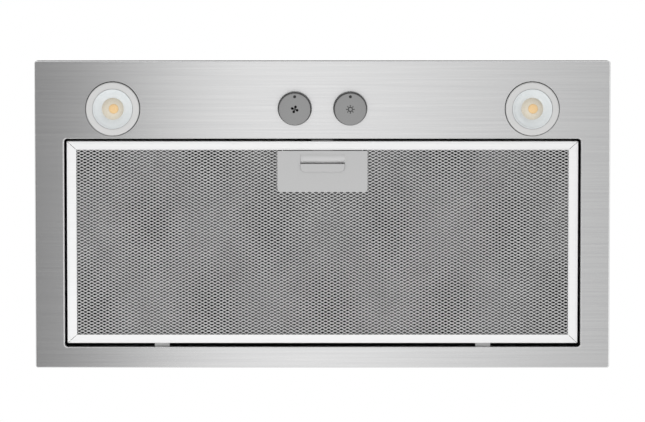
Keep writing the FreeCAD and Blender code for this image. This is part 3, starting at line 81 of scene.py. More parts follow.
# place across the softbox from 0 to 1, and its brightness there
SOFTBOX_STOPS = ((0.347, 0.29), (0.374, 0.42), (0.396, 0.62), (0.428, 0.93), (0.455, 1.07),
                 (0.491, 1.09), (0.527, 1.03), (0.572, 0.89), (0.662, 0.63), (0.76, 0.58),
                 (0.82, 1.5))

scene = bpy.context.scene
scene.view_settings.view_transform = "Standard"

toward = Vector((0, math.sin(CAMERA_TILT), math.cos(CAMERA_TILT)))
upward = Vector((0, -math.cos(CAMERA_TILT), math.sin(CAMERA_TILT)))
turn = Matrix(((1, 0, 0), (0, upward.y, -toward.y), (0, upward.z, -toward.z)))
camera = bpy.data.objects.new("camera", bpy.data.cameras.new("camera"))
camera.data.lens = CAMERA_LENS
camera.matrix_world = Matrix.Translation(CAMERA_AIM - toward * CAMERA_DISTANCE) @ turn.to_4x4()
scene.collection.objects.link(camera)
scene.camera = camera


def area_light(name, place, target, width, power):
    lamp = bpy.data.lights.new(name, "AREA")
    lamp.size = width
    lamp.energy = power
    made = bpy.data.objects.new(name, lamp)
    made.location = place
    made.rotation_mode = "QUATERNION"
    made.rotation_quaternion = (Vector(target) - Vector(place)).to_track_quat("-Z", "Y")
    made.visible_glossy = False
    scene.collection.objects.link(made)


area_light("key_below", (-0.45, 0.65, -1.9), (0, 0, 0), 0.8, 17)
area_light("key_above", (-1.2, -1.4, 1.6), (0, 0, 0.1), 1.0, 34)
area_light("fill_above", (1.6, 0.9, 1.2), (0, 0, 0.1), 1.2, 16)


def join(tree, source, output, target, socket):
    tree.links.new(source.outputs[output], target.inputs[socket])


def maximum(tree, first, second):
    """The larger of two outputs, each given as (node, output)."""
    node = tree.nodes.new("ShaderNodeMath")
    node.operation = "MAXIMUM"
    join(tree, *first, node, 0)
    join(tree, *second, node, 1)
    return node, 0


world = bpy.data.worlds.new("studio")
scene.world = world
world.use_nodes = True
tree = world.node_tree
rays = tree.nodes.new("ShaderNodeLightPath")
shown = maximum(tree, (rays, "Is Camera Ray"), (rays, "Is Transmission Ray"))
shown = maximum(tree, shown, (rays, "Is Glossy Ray"))
surround = tree.nodes.new("ShaderNodeMix")
surround.data_type = "RGBA"
surround.inputs["A"].default_value = (SURROUND_GREY, SURROUND_GREY, SURROUND_GREY, 1)
surround.inputs["B"].default_value = (1, 1, 1, 1)
join(tree, *shown, surround, "Factor")
join(tree, surround, "Result", tree.nodes["Background"], "Color")


def stage_plane(name, centre, half_x, half_y):
    shape = bmesh.new()
    bmesh.ops.create_grid(shape, x_segments=1, y_segments=1, size=1)
    bmesh.ops.scale(shape, vec=(half_x, half_y, 1), verts=shape.verts)
    bmesh.ops.translate(shape, vec=centre, verts=shape.verts)
    mesh = bpy.data.meshes.new(name)
    shape.to_mesh(mesh)
    shape.free()
    finish = bpy.data.materials.new(name)
    finish.use_nodes = True
    mesh.materials.append(finish)
    plane = bpy.data.objects.new(name, mesh)
    scene.collection.objects.link(plane)
    return plane, finish.node_tree


tree = stage_plane("floor", (0, 0, cad_low.z - FLOOR_DROP), FLOOR_HALF, FLOOR_HALF)[1]
paper = tree.nodes["Principled BSDF"]
paper.inputs["Base Color"].default_value = (0.86, 0.86, 0.86, 1)
paper.inputs["Roughness"].default_value = 0.9
clear = tree.nodes.new("ShaderNodeBsdfTransparent")
choose = tree.nodes.new("ShaderNodeMixShader")
rays = tree.nodes.new("ShaderNodeLightPath")
side = tree.nodes.new("ShaderNodeNewGeometry")
through = maximum(tree, (side, "Backfacing"), (rays, "Is Shadow Ray"))
through = maximum(tree, through, (rays, "Is Glossy Ray"))
through = maximum(tree, through, (rays, "Is Diffuse Ray"))
join(tree, *through, choose, "Fac")
join(tree, paper, 0, choose, 1)
join(tree, clear, 0, choose, 2)
join(tree, choose, 0, tree.nodes["Material Output"], "Surface")


def seen_by_shine(plane):
    plane.visible_camera = False
    plane.visible_diffuse = False
    plane.visible_shadow = False
    plane.visible_transmission = False


flag, tree = stage_plane("flag", (0, cad_low.y - FLAG_GAP, FLAG_REACH), cad_high.x, FLAG_REACH)
seen_by_shine(flag)
tree.nodes["Principled BSDF"].inputs["Base Color"].default_value = (0.01, 0.01, 0.01, 1)

softbox, tree = stage_plane("softbox", (0, 0, -SOFTBOX_DROP), SOFTBOX_HALF, SOFTBOX_HALF)
seen_by_shine(softbox)
way = tree.nodes.new("ShaderNodeTexCoord")
across = tree.nodes.new("ShaderNodeSeparateXYZ")
join(tree, way, "Object", across, 0)
place = tree.nodes.new("ShaderNodeMapRange")
place.inputs["From Min"].default_value = -SOFTBOX_HALF
place.inputs["From Max"].default_value = SOFTBOX_HALF
join(tree, across, "X", place, "Value")
fall = tree.nodes.new("ShaderNodeValToRGB")
join(tree, place, "Result", fall, "Fac")
for stop, level in SOFTBOX_STOPS:
    element = fall.color_ramp.elements.new(stop)
    element.color = (level, level, level, 1)
fall.color_ramp.elements.remove(fall.color_ramp.elements[0])
fall.color_ramp.elements.remove(fall.color_ramp.elements[-1])
glow = tree.nodes.new("ShaderNodeEmission")
join(tree, fall, "Color", glow, "Color")
join(tree, glow, 0, tree.nodes["Material Output"], "Surface")


# ---- Faceplate
# One stainless sheet, turned up at its edges and round the filter's opening.  It is
# brushed along its length, so its fine lines run from left to right.

def new_material(name, colour, roughness, metallic=0.0):
    made = bpy.data.materials.new(name)
    made.use_nodes = True
    shader = made.node_tree.nodes["Principled BSDF"]
    shader.inputs["Base Color"].default_value = (*colour, 1)
    shader.inputs["Roughness"].default_value = roughness
    shader.inputs["Metallic"].default_value = metallic
    return made


def new_group(name, sockets, outputs):
    """A shader node group; sockets are (name, socket type) and outputs are names."""
    tree = bpy.data.node_groups.new(name, "ShaderNodeTree")
    for socket, kind in sockets:
        tree.interface.new_socket(socket, in_out="INPUT", socket_type="NodeSocket" + kind)
    for socket in outputs:
        tree.interface.new_socket(socket, in_out="OUTPUT", socket_type="NodeSocketFloat")
    return tree, tree.nodes.new("NodeGroupInput"), tree.nodes.new("NodeGroupOutput")


# grain: noise with its own number of repeats per metre along each axis
grain, entry, leave = new_group("grain", (("Repeats", "Vector"), ("Detail", "Float")), ("Grain",))
way = grain.nodes.new("ShaderNodeTexCoord")
stretch = grain.nodes.new("ShaderNodeVectorMath")
stretch.operation = "MULTIPLY"
join(grain, way, "Object", stretch, 0)
join(grain, entry, "Repeats", stretch, 1)
noise = grain.nodes.new("ShaderNodeTexNoise")
noise.inputs["Scale"].default_value = 1
join(grain, stretch, 0, noise, "Vector")
join(grain, entry, "Detail", noise, "Detail")
sharper = grain.nodes.new("ShaderNodeMapRange")
sharper.inputs["From Min"].default_value = 0.25
sharper.inputs["From Max"].default_value = 0.75
join(grain, noise, "Fac", sharper, "Value")
join(grain, sharper, "Result", leave, "Grain")


def add_grain(made, repeats, detail=2.0):
    node = made.node_tree.nodes.new("ShaderNodeGroup")
    node.node_tree = grain
    node.inputs["Repeats"].default_value = repeats
    node.inputs["Detail"].default_value = detail
    return node, "Grain"


def shade(made, mask, dark, light):
    """The base colour runs from dark to light with the mask."""
    tree = made.node_tree
    mix = tree.nodes.new("ShaderNodeMix")
    mix.data_type = "RGBA"
    mix.inputs["A"].default_value = (*dark, 1)
    mix.inputs["B"].default_value = (*light, 1)
    join(tree, *mask, mix, "Factor")
    join(tree, mix, "Result", tree.nodes["Principled BSDF"], "Base Color")


def roughen(made, mask, smooth, rough):
    tree = made.node_tree
    spread = tree.nodes.new("ShaderNodeMapRange")
    spread.inputs["To Min"].default_value = smooth
    spread.inputs["To Max"].default_value = rough
    join(tree, *mask, spread, "Value")
    join(tree, spread, "Result", tree.nodes["Principled BSDF"], "Roughness")


def emboss(made, mask, height, strength):
    """The mask is read as a height in metres."""
    tree = made.node_tree
    bump = tree.nodes.new("ShaderNodeBump")
    bump.inputs["Distance"].default_value = height
    bump.inputs["Strength"].default_value = strength
    join(tree, *mask, bump, "Height")
    join(tree, bump, "Normal", tree.nodes["Principled BSDF"], "Normal")


def along(made, axis, start, stop):
    """A mask from 0 to 1 between two places on one axis of the object."""
    tree = made.node_tree
    way = tree.nodes.new("ShaderNodeTexCoord")
    across = tree.nodes.new("ShaderNodeSeparateXYZ")
    join(tree, way, "Object", across, 0)
    span = tree.nodes.new("ShaderNodeMapRange")
    span.inputs["From Min"].default_value = start
    span.inputs["From Max"].default_value = stop
    join(tree, across, axis, span, "Value")
    return span, "Result"


def overlay(made, mask, colour):
    """Blend the base colour to another one where the mask is 1."""
    tree = made.node_tree
    base = tree.nodes["Principled BSDF"].inputs["Base Color"]
    mix = tree.nodes.new("ShaderNodeMix")
    mix.data_type = "RGBA"
    mix.inputs["B"].default_value = (*colour, 1)
    tree.links.new(base.links[0].from_socket, mix.inputs["A"])
    join(tree, *mask, mix, "Factor")
    join(tree, mix, "Result", tree.nodes["Principled BSDF"], "Base Color")


def dress(made, *names):
    """Give CAD nodes this finish."""
    for name in names:
        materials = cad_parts[name].data.materials
        materials.clear()
        materials.append(made)


brushed = new_material("brushed_steel", (0.7, 0.7, 0.7), 0.28, 1.0)
shade(brushed, add_grain(brushed, (9, 700, 700), 3), (0.67, 0.67, 0.675), (0.735, 0.735, 0.735))
roughen(brushed, add_grain(brushed, (5, 500, 500)), 0.235, 0.26)
emboss(brushed, add_grain(brushed, (12, 2600, 2600), 3), 0.00002, 0.2)
dress(brushed, "faceplate")


# ---- Housing
# A wrapper bent from galvanized sheet makes the front, roof and rear, and an end panel
# is spot-welded in at each side.  Zinc-plated nuts on weld studs hold the faceplate.

SPANGLE_REPEATS = 130
WELD_SEGMENTS = 20
WELD_RADIUS = 0.0024
WELD_TOP_RADIUS = 0.001728
WELD_RISE = 0.00018
WELD_PITCH = 0.042
ROOF_WELD_PITCH = 0.0546
WELD_INSET = 0.006

# spangle: the frost-like crystals of hot-dip zinc, each with a tone of its own
spangle, entry, leave = new_group("spangle", (("Repeats", "Float"),), ("Crystal",))
way = spangle.nodes.new("ShaderNodeTexCoord")
cells = spangle.nodes.new("ShaderNodeTexVoronoi")
join(spangle, way, "Object", cells, "Vector")
join(spangle, entry, "Repeats", cells, "Scale")
tone = spangle.nodes.new("ShaderNodeSeparateColor")
join(spangle, cells, "Color", tone, 0)
join(spangle, tone, "Red", leave, "Crystal")

galvanized = new_material("galvanized_sheet", (0.48, 0.50, 0.51), 0.42, 0.6)
crystals = galvanized.node_tree.nodes.new("ShaderNodeGroup")
crystals.node_tree = spangle
crystals.inputs["Repeats"].default_value = SPANGLE_REPEATS
shade(galvanized, (crystals, "Crystal"), (0.41, 0.43, 0.44), (0.52, 0.54, 0.55))
roughen(galvanized, (crystals, "Crystal"), 0.38, 0.52)
emboss(galvanized, add_grain(galvanized, (35, 35, 35)), 0.0004, 0.12)
dress(galvanized, "housing_wrapper", "left_end_panel", "right_end_panel", "duct_collar",
      "motor_hanger", "capacitor_clamp", "wiring_box", "wiring_box_cover", "switch_cover",
      "left_lamp_bracket", "right_lamp_bracket")

zinc = new_material("zinc_plate", (0.62, 0.62, 0.60), 0.32, 0.9)
cloud = add_grain(zinc, (500, 500, 500), 3)
shade(zinc, cloud, (0.53, 0.54, 0.53), (0.70, 0.69, 0.63))
roughen(zinc, cloud, 0.26, 0.42)
dress(zinc, "foot_studs_and_nuts", "collar_screws", "damper_rod", "wheel_set_screws",
      "motor_screws", "switch_nuts")


def add_piece(name, shape, finish, body):
    """Make a finished bmesh a piece of the object."""
    mesh = bpy.data.meshes.new(name)
    shape.to_mesh(mesh)
    shape.free()
    mesh.materials.append(finish)
    piece = bpy.data.objects.new(name, mesh)
    scene.collection.objects.link(piece)
    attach(piece, body)
    return piece


def add_weld(shape, place, outward):
    """A shallow round weld mark on a wall that faces outward."""
    made = bmesh.ops.create_cone(shape, cap_ends=True, segments=WELD_SEGMENTS,
                                 radius1=WELD_RADIUS, radius2=WELD_TOP_RADIUS,
                                 depth=WELD_RISE)["verts"]
    bmesh.ops.rotate(shape, verts=made,
                     matrix=Vector((0, 0, 1)).rotation_difference(Vector(outward)).to_matrix())
    bmesh.ops.translate(shape, verts=made, vec=Vector(place) + Vector(outward) * WELD_RISE / 2)


low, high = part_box("housing_wrapper")
middle = (low.z + high.z) / 2
welds = bmesh.new()
for side in (-1, 1):
    x = (high.x - WELD_INSET) * side
    for step in range(-2, 3):
        for wall, face in ((-1, low.y), (1, high.y)):
            add_weld(welds, (x, face, middle + WELD_PITCH * step), (0, wall, 0))
        add_weld(welds, (x, ROOF_WELD_PITCH * step, high.z), (0, 0, 1))
burnt_zinc = new_material("burnt_zinc", (0.2, 0.2, 0.2), 0.6, 0.3)
soot = add_grain(burnt_zinc, (600, 600, 600), 3)
shade(burnt_zinc, soot, (0.15, 0.15, 0.155), (0.27, 0.27, 0.27))
roughen(burnt_zinc, soot, 0.5, 0.7)
add_piece("seam_welds", welds, burnt_zinc, "root")


# ---- Back-draught flap
# The flap is a strip of plain aluminium, folded over a zinc-plated rod.  The rod turns in
# two holes of the duct collar, and the air stream lifts the flap.

plain_aluminium = new_material("damper_aluminium", (0.74, 0.75, 0.76), 0.36, 0.9)
drawn = add_grain(plain_aluminium, (12, 900, 900))
shade(plain_aluminium, drawn, (0.67, 0.68, 0.69), (0.79, 0.80, 0.81))
roughen(plain_aluminium, drawn, 0.30, 0.42)
dress(plain_aluminium, "damper_flap")


# ---- Blower
# Two volutes with rolled inlet rings hold the squirrel-cage wheels, moulded in black and
# dark grey plastic.  The motor between them is enamelled, and its shaft is ground steel.

def moulded(name, dark, light, roughness):
    """Satin moulded plastic with a fine eroded texture."""
    made = new_material(name, light, roughness)
    shade(made, add_grain(made, (25, 25, 25)), dark, light)
    pebble = add_grain(made, (2200, 2200, 2200))
    roughen(made, pebble, roughness - 0.05, roughness + 0.06)
    emboss(made, pebble, 0.00006, 0.35)
    return made


blower_plastic = moulded("blower_plastic", (0.040, 0.040, 0.043), (0.060, 0.060, 0.065), 0.48)
dress(blower_plastic, "left_volute", "right_volute", "left_inlet_ring", "right_inlet_ring")
wheel_plastic = moulded("wheel_plastic", (0.075, 0.075, 0.08), (0.105, 0.105, 0.115), 0.45)
dress(wheel_plastic, "left_blower_wheel", "right_blower_wheel")

enamel = new_material("motor_enamel", (0.08, 0.08, 0.085), 0.3)
enamel.node_tree.nodes["Principled BSDF"].inputs["Coat Weight"].default_value = 0.3
shade(enamel, add_grain(enamel, (30, 30, 30)), (0.07, 0.07, 0.075), (0.09, 0.09, 0.095))
emboss(enamel, add_grain(enamel, (700, 700, 700), 1), 0.00008, 0.25)
dress(enamel, "motor_case", "left_motor_shield", "right_motor_shield")

ground = new_material("ground_steel", (0.6, 0.6, 0.6), 0.22, 1.0)
rings = add_grain(ground, (3000, 60, 60))
shade(ground, rings, (0.54, 0.54, 0.54), (0.66, 0.66, 0.66))
roughen(ground, rings, 0.16, 0.30)
dress(ground, "blower_shaft", "fan_spindle", "light_spindle")


# ---- Wiring
# The capacitor, the terminal block and the lamp holders are moulded in off-white plastic,
# and the rotary switches in black.

white_plastic = moulded("white_plastic", (0.74, 0.73, 0.68), (0.82, 0.81, 0.77), 0.42)
dress(white_plastic, "run_capacitor", "terminal_block", "left_lamp_holder", "right_lamp_holder")
black_plastic = moulded("black_plastic", (0.022, 0.022, 0.022), (0.036, 0.036, 0.036), 0.40)
dress(black_plastic, "fan_switch", "light_switch")


# ---- Knobs
# Each cap is lacquered grey on a drafted skirt and pushed on a flatted spindle.  The
# skirt's near-black colour is painted shade, for its side turned from the light.  It is
# printed with a dot at its front edge and a pictogram in its middle: four fan blades on
# the left one, a small sun on the right one.

KNOB_SEGMENTS = 96
KNOB_DRAFT = 0.0012
KNOB_BEVEL = 0.0008
KNOB_WALL = 0.002
FACE_INSET = 0.0016
# the cap's rounded edge, as (inset from its radius, depth behind its face)
CAP_EDGE = ((0.0013, 0.00012), (0.0007, 0.00012), (0.0003, 0.00025), (0, KNOB_BEVEL),
            (0.0003, KNOB_WALL))
CAP_OVERLAP = 0.0003
SKIRT_CHAMFER = 0.0004
SKIRT_FOOT = 0.0003
PRINT_HEIGHT = 0.00006
DOT_SEGMENTS = 32
DOT_RADIUS = 0.0014
DOT_PLACE = 0.0118
BLADES = 4
BLADE_TIP_SEGMENTS = 20
BLADE_TIP_RADIUS = 0.0012
BLADE_TIP_PLACE = 0.0025
BLADE_TURN = math.radians(20)
SUN_SEGMENTS = 40
SUN_RADIUS = 0.0023
SUN_LINE = 0.0008
RAYS = 8
RAY_PLACE = 0.0033
RAY_LENGTH = 0.0014


def turned(outline, centre, segments):
    """Spin an outline of (radius, height) round a vertical through centre."""
    shape = bmesh.new()
    points = [shape.verts.new((radius, 0, height)) for radius, height in outline]
    edges = [shape.edges.new(pair) for pair in zip(points, points[1:])]
    bmesh.ops.spin(shape, geom=points + edges, axis=(0, 0, 1), angle=math.tau,
                   steps=segments, use_merge=True)
    bmesh.ops.remove_doubles(shape, verts=shape.verts, dist=1e-6)
    bmesh.ops.recalc_face_normals(shape, faces=shape.faces)
    bmesh.ops.translate(shape, vec=centre, verts=shape.verts)
    for face in shape.faces:
        face.smooth = True
    return shape


def thicken(shape, faces, height):
    """Give flat printed faces their thin body, downwards."""
    grown = bmesh.ops.extrude_face_region(shape, geom=faces)["geom"]
    verts = [item for item in grown if isinstance(item, bmesh.types.BMVert)]
    bmesh.ops.translate(shape, vec=(0, 0, -height), verts=verts)


lacquer = new_material("knob_lacquer", (0.28, 0.28, 0.28), 0.42, 0.15)
sheen = add_grain(lacquer, (900, 900, 900))
shade(lacquer, sheen, (0.26, 0.26, 0.26), (0.29, 0.29, 0.29))
roughen(lacquer, sheen, 0.38, 0.48)
# Painted shade: the skirt is near-black for the knob's side that lies in shadow.
skirt_painted_shade = moulded("knob_skirt", (0.035, 0.035, 0.035), (0.05, 0.05, 0.05), 0.5)
ink = new_material("printed_ink", (0.012, 0.012, 0.012), 0.5)
roughen(ink, add_grain(ink, (3000, 3000, 3000)), 0.42, 0.58)

for name, body in (("fan", "fan_dial"), ("light", "light_dial")):
    low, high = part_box(name + "_knob")
    centre = Vector(((low.x + high.x) / 2, (low.y + high.y) / 2, 0))
    base = (high.x - low.x) / 2
    face = base - KNOB_DRAFT
    inside = base - KNOB_WALL
    top = low.z + PRINT_HEIGHT
    cap = [(0, top), (face - FACE_INSET, top)]
    cap += [(face - inset, low.z + depth) for inset, depth in CAP_EDGE]
    cap.append((0, low.z + KNOB_WALL))
    skirt = [(face - CAP_OVERLAP, low.z + KNOB_BEVEL), (face, low.z + KNOB_BEVEL),
             (base, high.z - SKIRT_CHAMFER), (base - SKIRT_FOOT, high.z), (inside, high.z),
             (inside - KNOB_DRAFT, low.z + KNOB_WALL), (face - CAP_OVERLAP, low.z + KNOB_WALL),
             (face - CAP_OVERLAP, low.z + KNOB_BEVEL)]
    knob = add_piece(name + "_knob_cap", turned(cap, centre, KNOB_SEGMENTS), lacquer,
                     body)
    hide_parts(name + "_knob")
    add_piece(name + "_knob_skirt", turned(skirt, centre, KNOB_SEGMENTS), skirt_painted_shade,
              body)

    marks = bmesh.new()
    dot = bmesh.ops.create_circle(marks, cap_ends=True, radius=DOT_RADIUS,
                                  segments=DOT_SEGMENTS)
    bmesh.ops.translate(marks, vec=(0, -DOT_PLACE, 0), verts=dot["verts"])
    if name == "fan":
        for blade in range(BLADES):
            tip = bmesh.ops.create_circle(marks, radius=BLADE_TIP_RADIUS,
                                          segments=BLADE_TIP_SEGMENTS)["verts"]
            bmesh.ops.translate(marks, vec=(BLADE_TIP_PLACE, 0, 0), verts=tip)
            root = marks.verts.new((0, 0, 0))
            angle = BLADE_TURN + math.tau / BLADES * blade
            bmesh.ops.rotate(marks, matrix=Matrix.Rotation(angle, 3, "Z"), verts=tip)
            bmesh.ops.convex_hull(marks, input=tip + [root])
    else:
        ring = bmesh.ops.create_circle(marks, cap_ends=True, radius=SUN_RADIUS,
                                       segments=SUN_SEGMENTS)
        disc = [face for face in marks.faces if ring["verts"][0] in face.verts]
        bmesh.ops.inset_region(marks, faces=disc, thickness=SUN_LINE, use_boundary=True,
                               use_even_offset=True)
        bmesh.ops.delete(marks, geom=disc, context="FACES_ONLY")
        for number in range(RAYS):
            ray = bmesh.ops.create_grid(marks, x_segments=1, y_segments=1, size=0.5)["verts"]
            bmesh.ops.scale(marks, vec=(RAY_LENGTH, SUN_LINE, 1), verts=ray)
            bmesh.ops.translate(marks, vec=(RAY_PLACE, 0, 0), verts=ray)
            bmesh.ops.rotate(marks, matrix=Matrix.Rotation(math.tau / RAYS * number, 3, "Z"),
                             verts=ray)
    bmesh.ops.translate(marks, vec=(centre.x, centre.y, top), verts=marks.verts)
    thicken(marks, marks.faces[:], PRINT_HEIGHT)
    bmesh.ops.recalc_face_normals(marks, faces=marks.faces)
    add_piece(name + "_knob_marks", marks, ink, body)


# ---- Grease filter
# A folded frame of bright aluminium strip, mitred at its corners, holds layers of expanded
# aluminium mesh.  The second layer's diamonds differ a little in pitch from the first's,
# which gives the pack its moire.  The inner layer's dark grey and the near-black core
# behind it are painted shade, for the shadow deep in the pack.

SIDE_RAIL = 0.009
END_RAIL = 0.008
HEM_WIDTH = 0.0011
HEM_HEIGHT = 0.0003
BEAD_INSET = 0.0019
BEAD_WIDTH = 0.0009
BEAD_HEIGHT = 0.0002
BEAD_GAP = 0.00012
CREST_SHARE = 0.45
SEAM_WIDTH = 0.0004
SEAM_HEIGHT = 0.00005
SEAM_SHARE = 0.96
STRAND_SHEET = 0.00024
STRAND_TILT = math.radians(24)
KNUCKLE_OVERLAP = 0.0005
FRONT_STRAND = 0.00066
INNER_STRAND = 0.0006
BACK_STRAND = 0.00076
OUTER_PITCH = (0.00595, 0.0030)
INNER_PITCH = (0.00565, 0.00306)
OUTER_DEPTH = 0.0003
INNER_DEPTH = 0.0005
INNER_SHIFT = 0.001
NOTCH_GAP = 0.0004
CORE_FRONT = 0.0022

rail_finish = new_material("filter_aluminium", (0.9, 0.9, 0.9), 0.45)
drawn = add_grain(rail_finish, (14, 1500, 1500))
shade(rail_finish, drawn, (0.88, 0.88, 0.88), (0.92, 0.92, 0.92))
roughen(rail_finish, drawn, 0.38, 0.50)
dress(rail_finish, "filter_frame", "latch_tray")
tab_finish = new_material("filter_tab_aluminium", (0.4, 0.4, 0.4), 0.5)
tab_grain = add_grain(tab_finish, (14, 900, 900))
shade(tab_finish, tab_grain, (0.36, 0.36, 0.36), (0.42, 0.42, 0.42))
roughen(tab_finish, tab_grain, 0.42, 0.55)
dress(tab_finish, "filter_rear_tabs")


def add_rail_bead(name, half_x, front, rear, width, height):
    """A low bead along all four rails, parted at the mitres."""
    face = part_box("filter_frame")[0].z
    shape = bmesh.new()
    bmesh.ops.create_grid(shape, x_segments=1, y_segments=1, size=1)
    bmesh.ops.scale(shape, vec=(half_x, (rear - front) / 2, 1), verts=shape.verts)
    bmesh.ops.translate(shape, vec=(0, (rear + front) / 2, face), verts=shape.verts)
    inner = shape.faces[:]
    bmesh.ops.inset_region(shape, faces=inner, thickness=width, use_boundary=True,
                           use_even_offset=True)
    bmesh.ops.delete(shape, geom=inner, context="FACES_ONLY")
    sides = shape.faces[:]
    bmesh.ops.inset_individual(shape, faces=sides, thickness=BEAD_GAP)
    bmesh.ops.delete(shape, geom=[item for item in shape.faces if item not in sides],
                     context="FACES")
    thicken(shape, shape.faces[:], height)
    bmesh.ops.recalc_face_normals(shape, faces=shape.faces)
    crest = [edge for edge in shape.edges
             if all(vert.co.z < face - height / 2 for vert in edge.verts)]
    bmesh.ops.bevel(shape, geom=crest, offset=height * CREST_SHARE, affect="EDGES",
                    segments=2, profile=0.5, material=-1)
    add_piece(name, shape, rail_finish, "filter")


frame_low, frame_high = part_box("filter_frame")
add_rail_bead("filter_inner_hem", frame_high.x - SIDE_RAIL + HEM_WIDTH,
              frame_low.y + END_RAIL - HEM_WIDTH, frame_high.y - END_RAIL + HEM_WIDTH,
              HEM_WIDTH, HEM_HEIGHT)
add_rail_bead("filter_outer_bead", frame_high.x - BEAD_INSET, frame_low.y + BEAD_INSET,
              frame_high.y - BEAD_INSET, BEAD_WIDTH, BEAD_HEIGHT)

seams = bmesh.new()
for side in (-1, 1):
    for outer, rail in ((frame_low.y, END_RAIL), (frame_high.y, -END_RAIL)):
        start = Vector((frame_high.x * side, outer, frame_low.z))
        stop = Vector(((frame_high.x - SIDE_RAIL) * side, outer + rail, frame_low.z))
        run = (stop - start) * SEAM_SHARE
        seam = bmesh.ops.create_grid(seams, x_segments=1, y_segments=1, size=0.5)["verts"]
        bmesh.ops.scale(seams, verts=seam, vec=(run.length, SEAM_WIDTH, 1))
        bmesh.ops.rotate(seams, verts=seam,
                         matrix=Matrix.Rotation(math.atan2(run.y, run.x), 3, "Z"))
        bmesh.ops.translate(seams, verts=seam, vec=(start + stop) / 2)
thicken(seams, seams.faces[:], SEAM_HEIGHT)
bmesh.ops.recalc_face_normals(seams, faces=seams.faces)
seam_finish = new_material("mitre_seam", (0.12, 0.12, 0.12), 0.6)
roughen(seam_finish, add_grain(seam_finish, (900, 900, 900)), 0.5, 0.7)
add_piece("filter_mitre_seams", seams, seam_finish, "filter")


def expanded(name, colour, shine):
    """Dull aluminium strand; the layers deeper in are given darker colours, as painted shade."""
    made = new_material(name, colour, 0.4)
    made.node_tree.nodes["Principled BSDF"].inputs["Specular IOR Level"].default_value = shine
    patch = add_grain(made, (45, 45, 45), 3)
    shade(made, patch, tuple(value * 0.86 for value in colour), colour)
    roughen(made, patch, 0.30, 0.44)
    return made


def strand_mesh(cells, width, pitch_x, swing):
    """One zigzag strand of half cells from the origin, closed at both ends."""
    shape = bmesh.new()
    ring = bmesh.ops.create_circle(shape, cap_ends=True, radius=math.sqrt(0.5), segments=4)
    verts = ring["verts"]
    bmesh.ops.rotate(shape, verts=verts, matrix=Matrix.Rotation(math.pi / 4, 3, "Z"))
    bmesh.ops.scale(shape, verts=verts, vec=(STRAND_SHEET, width, 1))
    bmesh.ops.rotate(shape, verts=verts, matrix=Matrix.Rotation(math.pi / 2, 3, "Y"))
    bmesh.ops.rotate(shape, verts=verts, matrix=Matrix.Rotation(STRAND_TILT, 3, "X"))
    faces = shape.faces[:]
    for index in range(cells):
        grown = bmesh.ops.extrude_face_region(shape, geom=faces)["geom"]
        if index:
            bmesh.ops.delete(shape, geom=faces, context="FACES_ONLY")
        faces = [item for item in grown if isinstance(item, bmesh.types.BMFace)]
        verts = [item for item in grown if isinstance(item, bmesh.types.BMVert)]
        bmesh.ops.translate(shape, verts=verts,
                            vec=(pitch_x / 2, -swing if index % 2 else swing, 0))
    bmesh.ops.recalc_face_normals(shape, faces=shape.faces)
    mesh = bpy.data.meshes.new("strand")
    shape.to_mesh(mesh)
    shape.free()
    return mesh


def add_mesh_layer(name, node, height, width, pitch, shift, finish):
    """Rows of strands, each mirrored from the last, cut short beside the latch's tray."""
    pitch_x, pitch_y = pitch
    low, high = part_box(node)
    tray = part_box("latch_tray")[1]
    swing = pitch_y / 2 - width * math.cos(STRAND_TILT) + KNUCKLE_OVERLAP
    start = low.x + STRAND_SHEET + shift
    across = int((high.x - STRAND_SHEET - start) / pitch_x) * 2
    beside = int((-tray.x - NOTCH_GAP - start) / pitch_x) * 2
    whole = strand_mesh(across, width, pitch_x, swing)
    short = strand_mesh(beside, width, pitch_x, swing)
    first = low.y + width / 2
    rows = int((high.y - width / 2 - swing - first) / (pitch_y / 2)) + 1
    shape = bmesh.new()
    for row in range(rows):
        y = first + pitch_y / 2 * row
        runs = [(whole, start)]
        if y - width / 2 < tray.y + NOTCH_GAP:
            runs = [(short, start), (short, start + (across - beside) * pitch_x / 2)]
        for mesh, x in runs:
            count = len(shape.verts)
            shape.from_mesh(mesh)
            shape.verts.ensure_lookup_table()
            fresh = shape.verts[count:]
            if row % 2:
                bmesh.ops.rotate(shape, verts=fresh, matrix=Matrix.Rotation(math.pi, 3, "Y"))
                bmesh.ops.rotate(shape, verts=fresh, matrix=Matrix.Rotation(math.pi, 3, "Z"))
                bmesh.ops.translate(shape, verts=fresh, vec=(0, swing, 0))
            bmesh.ops.translate(shape, verts=fresh, vec=(x, y, height))
    bpy.data.meshes.remove(whole)
    bpy.data.meshes.remove(short)
    piece = add_piece(name, shape, finish, "filter")
    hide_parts(node)


near_mesh = expanded("mesh_aluminium", (0.72, 0.72, 0.72), 0.25)
# Painted shade: the inner layer and the core are coloured dark for the shadow deep in the pack.
shaded_inner_mesh = expanded("inner_mesh_painted_shade", (0.16, 0.16, 0.16), 0.15)
core_shade_finish = expanded("core_painted_shade", (0.02, 0.02, 0.02), 0.1)
pad_low, pad_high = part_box("filter_mesh_pad")
add_mesh_layer("mesh_front_layer", "filter_mesh_front",
               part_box("filter_mesh_front")[0].z + OUTER_DEPTH, FRONT_STRAND, OUTER_PITCH, 0,
               near_mesh)
add_mesh_layer("mesh_inner_layer", "filter_mesh_pad", pad_low.z + INNER_DEPTH, INNER_STRAND,
               INNER_PITCH, INNER_SHIFT, shaded_inner_mesh)
add_mesh_layer("mesh_back_layer", "filter_mesh_back",
               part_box("filter_mesh_back")[1].z - OUTER_DEPTH, BACK_STRAND, OUTER_PITCH, 0,
               near_mesh)
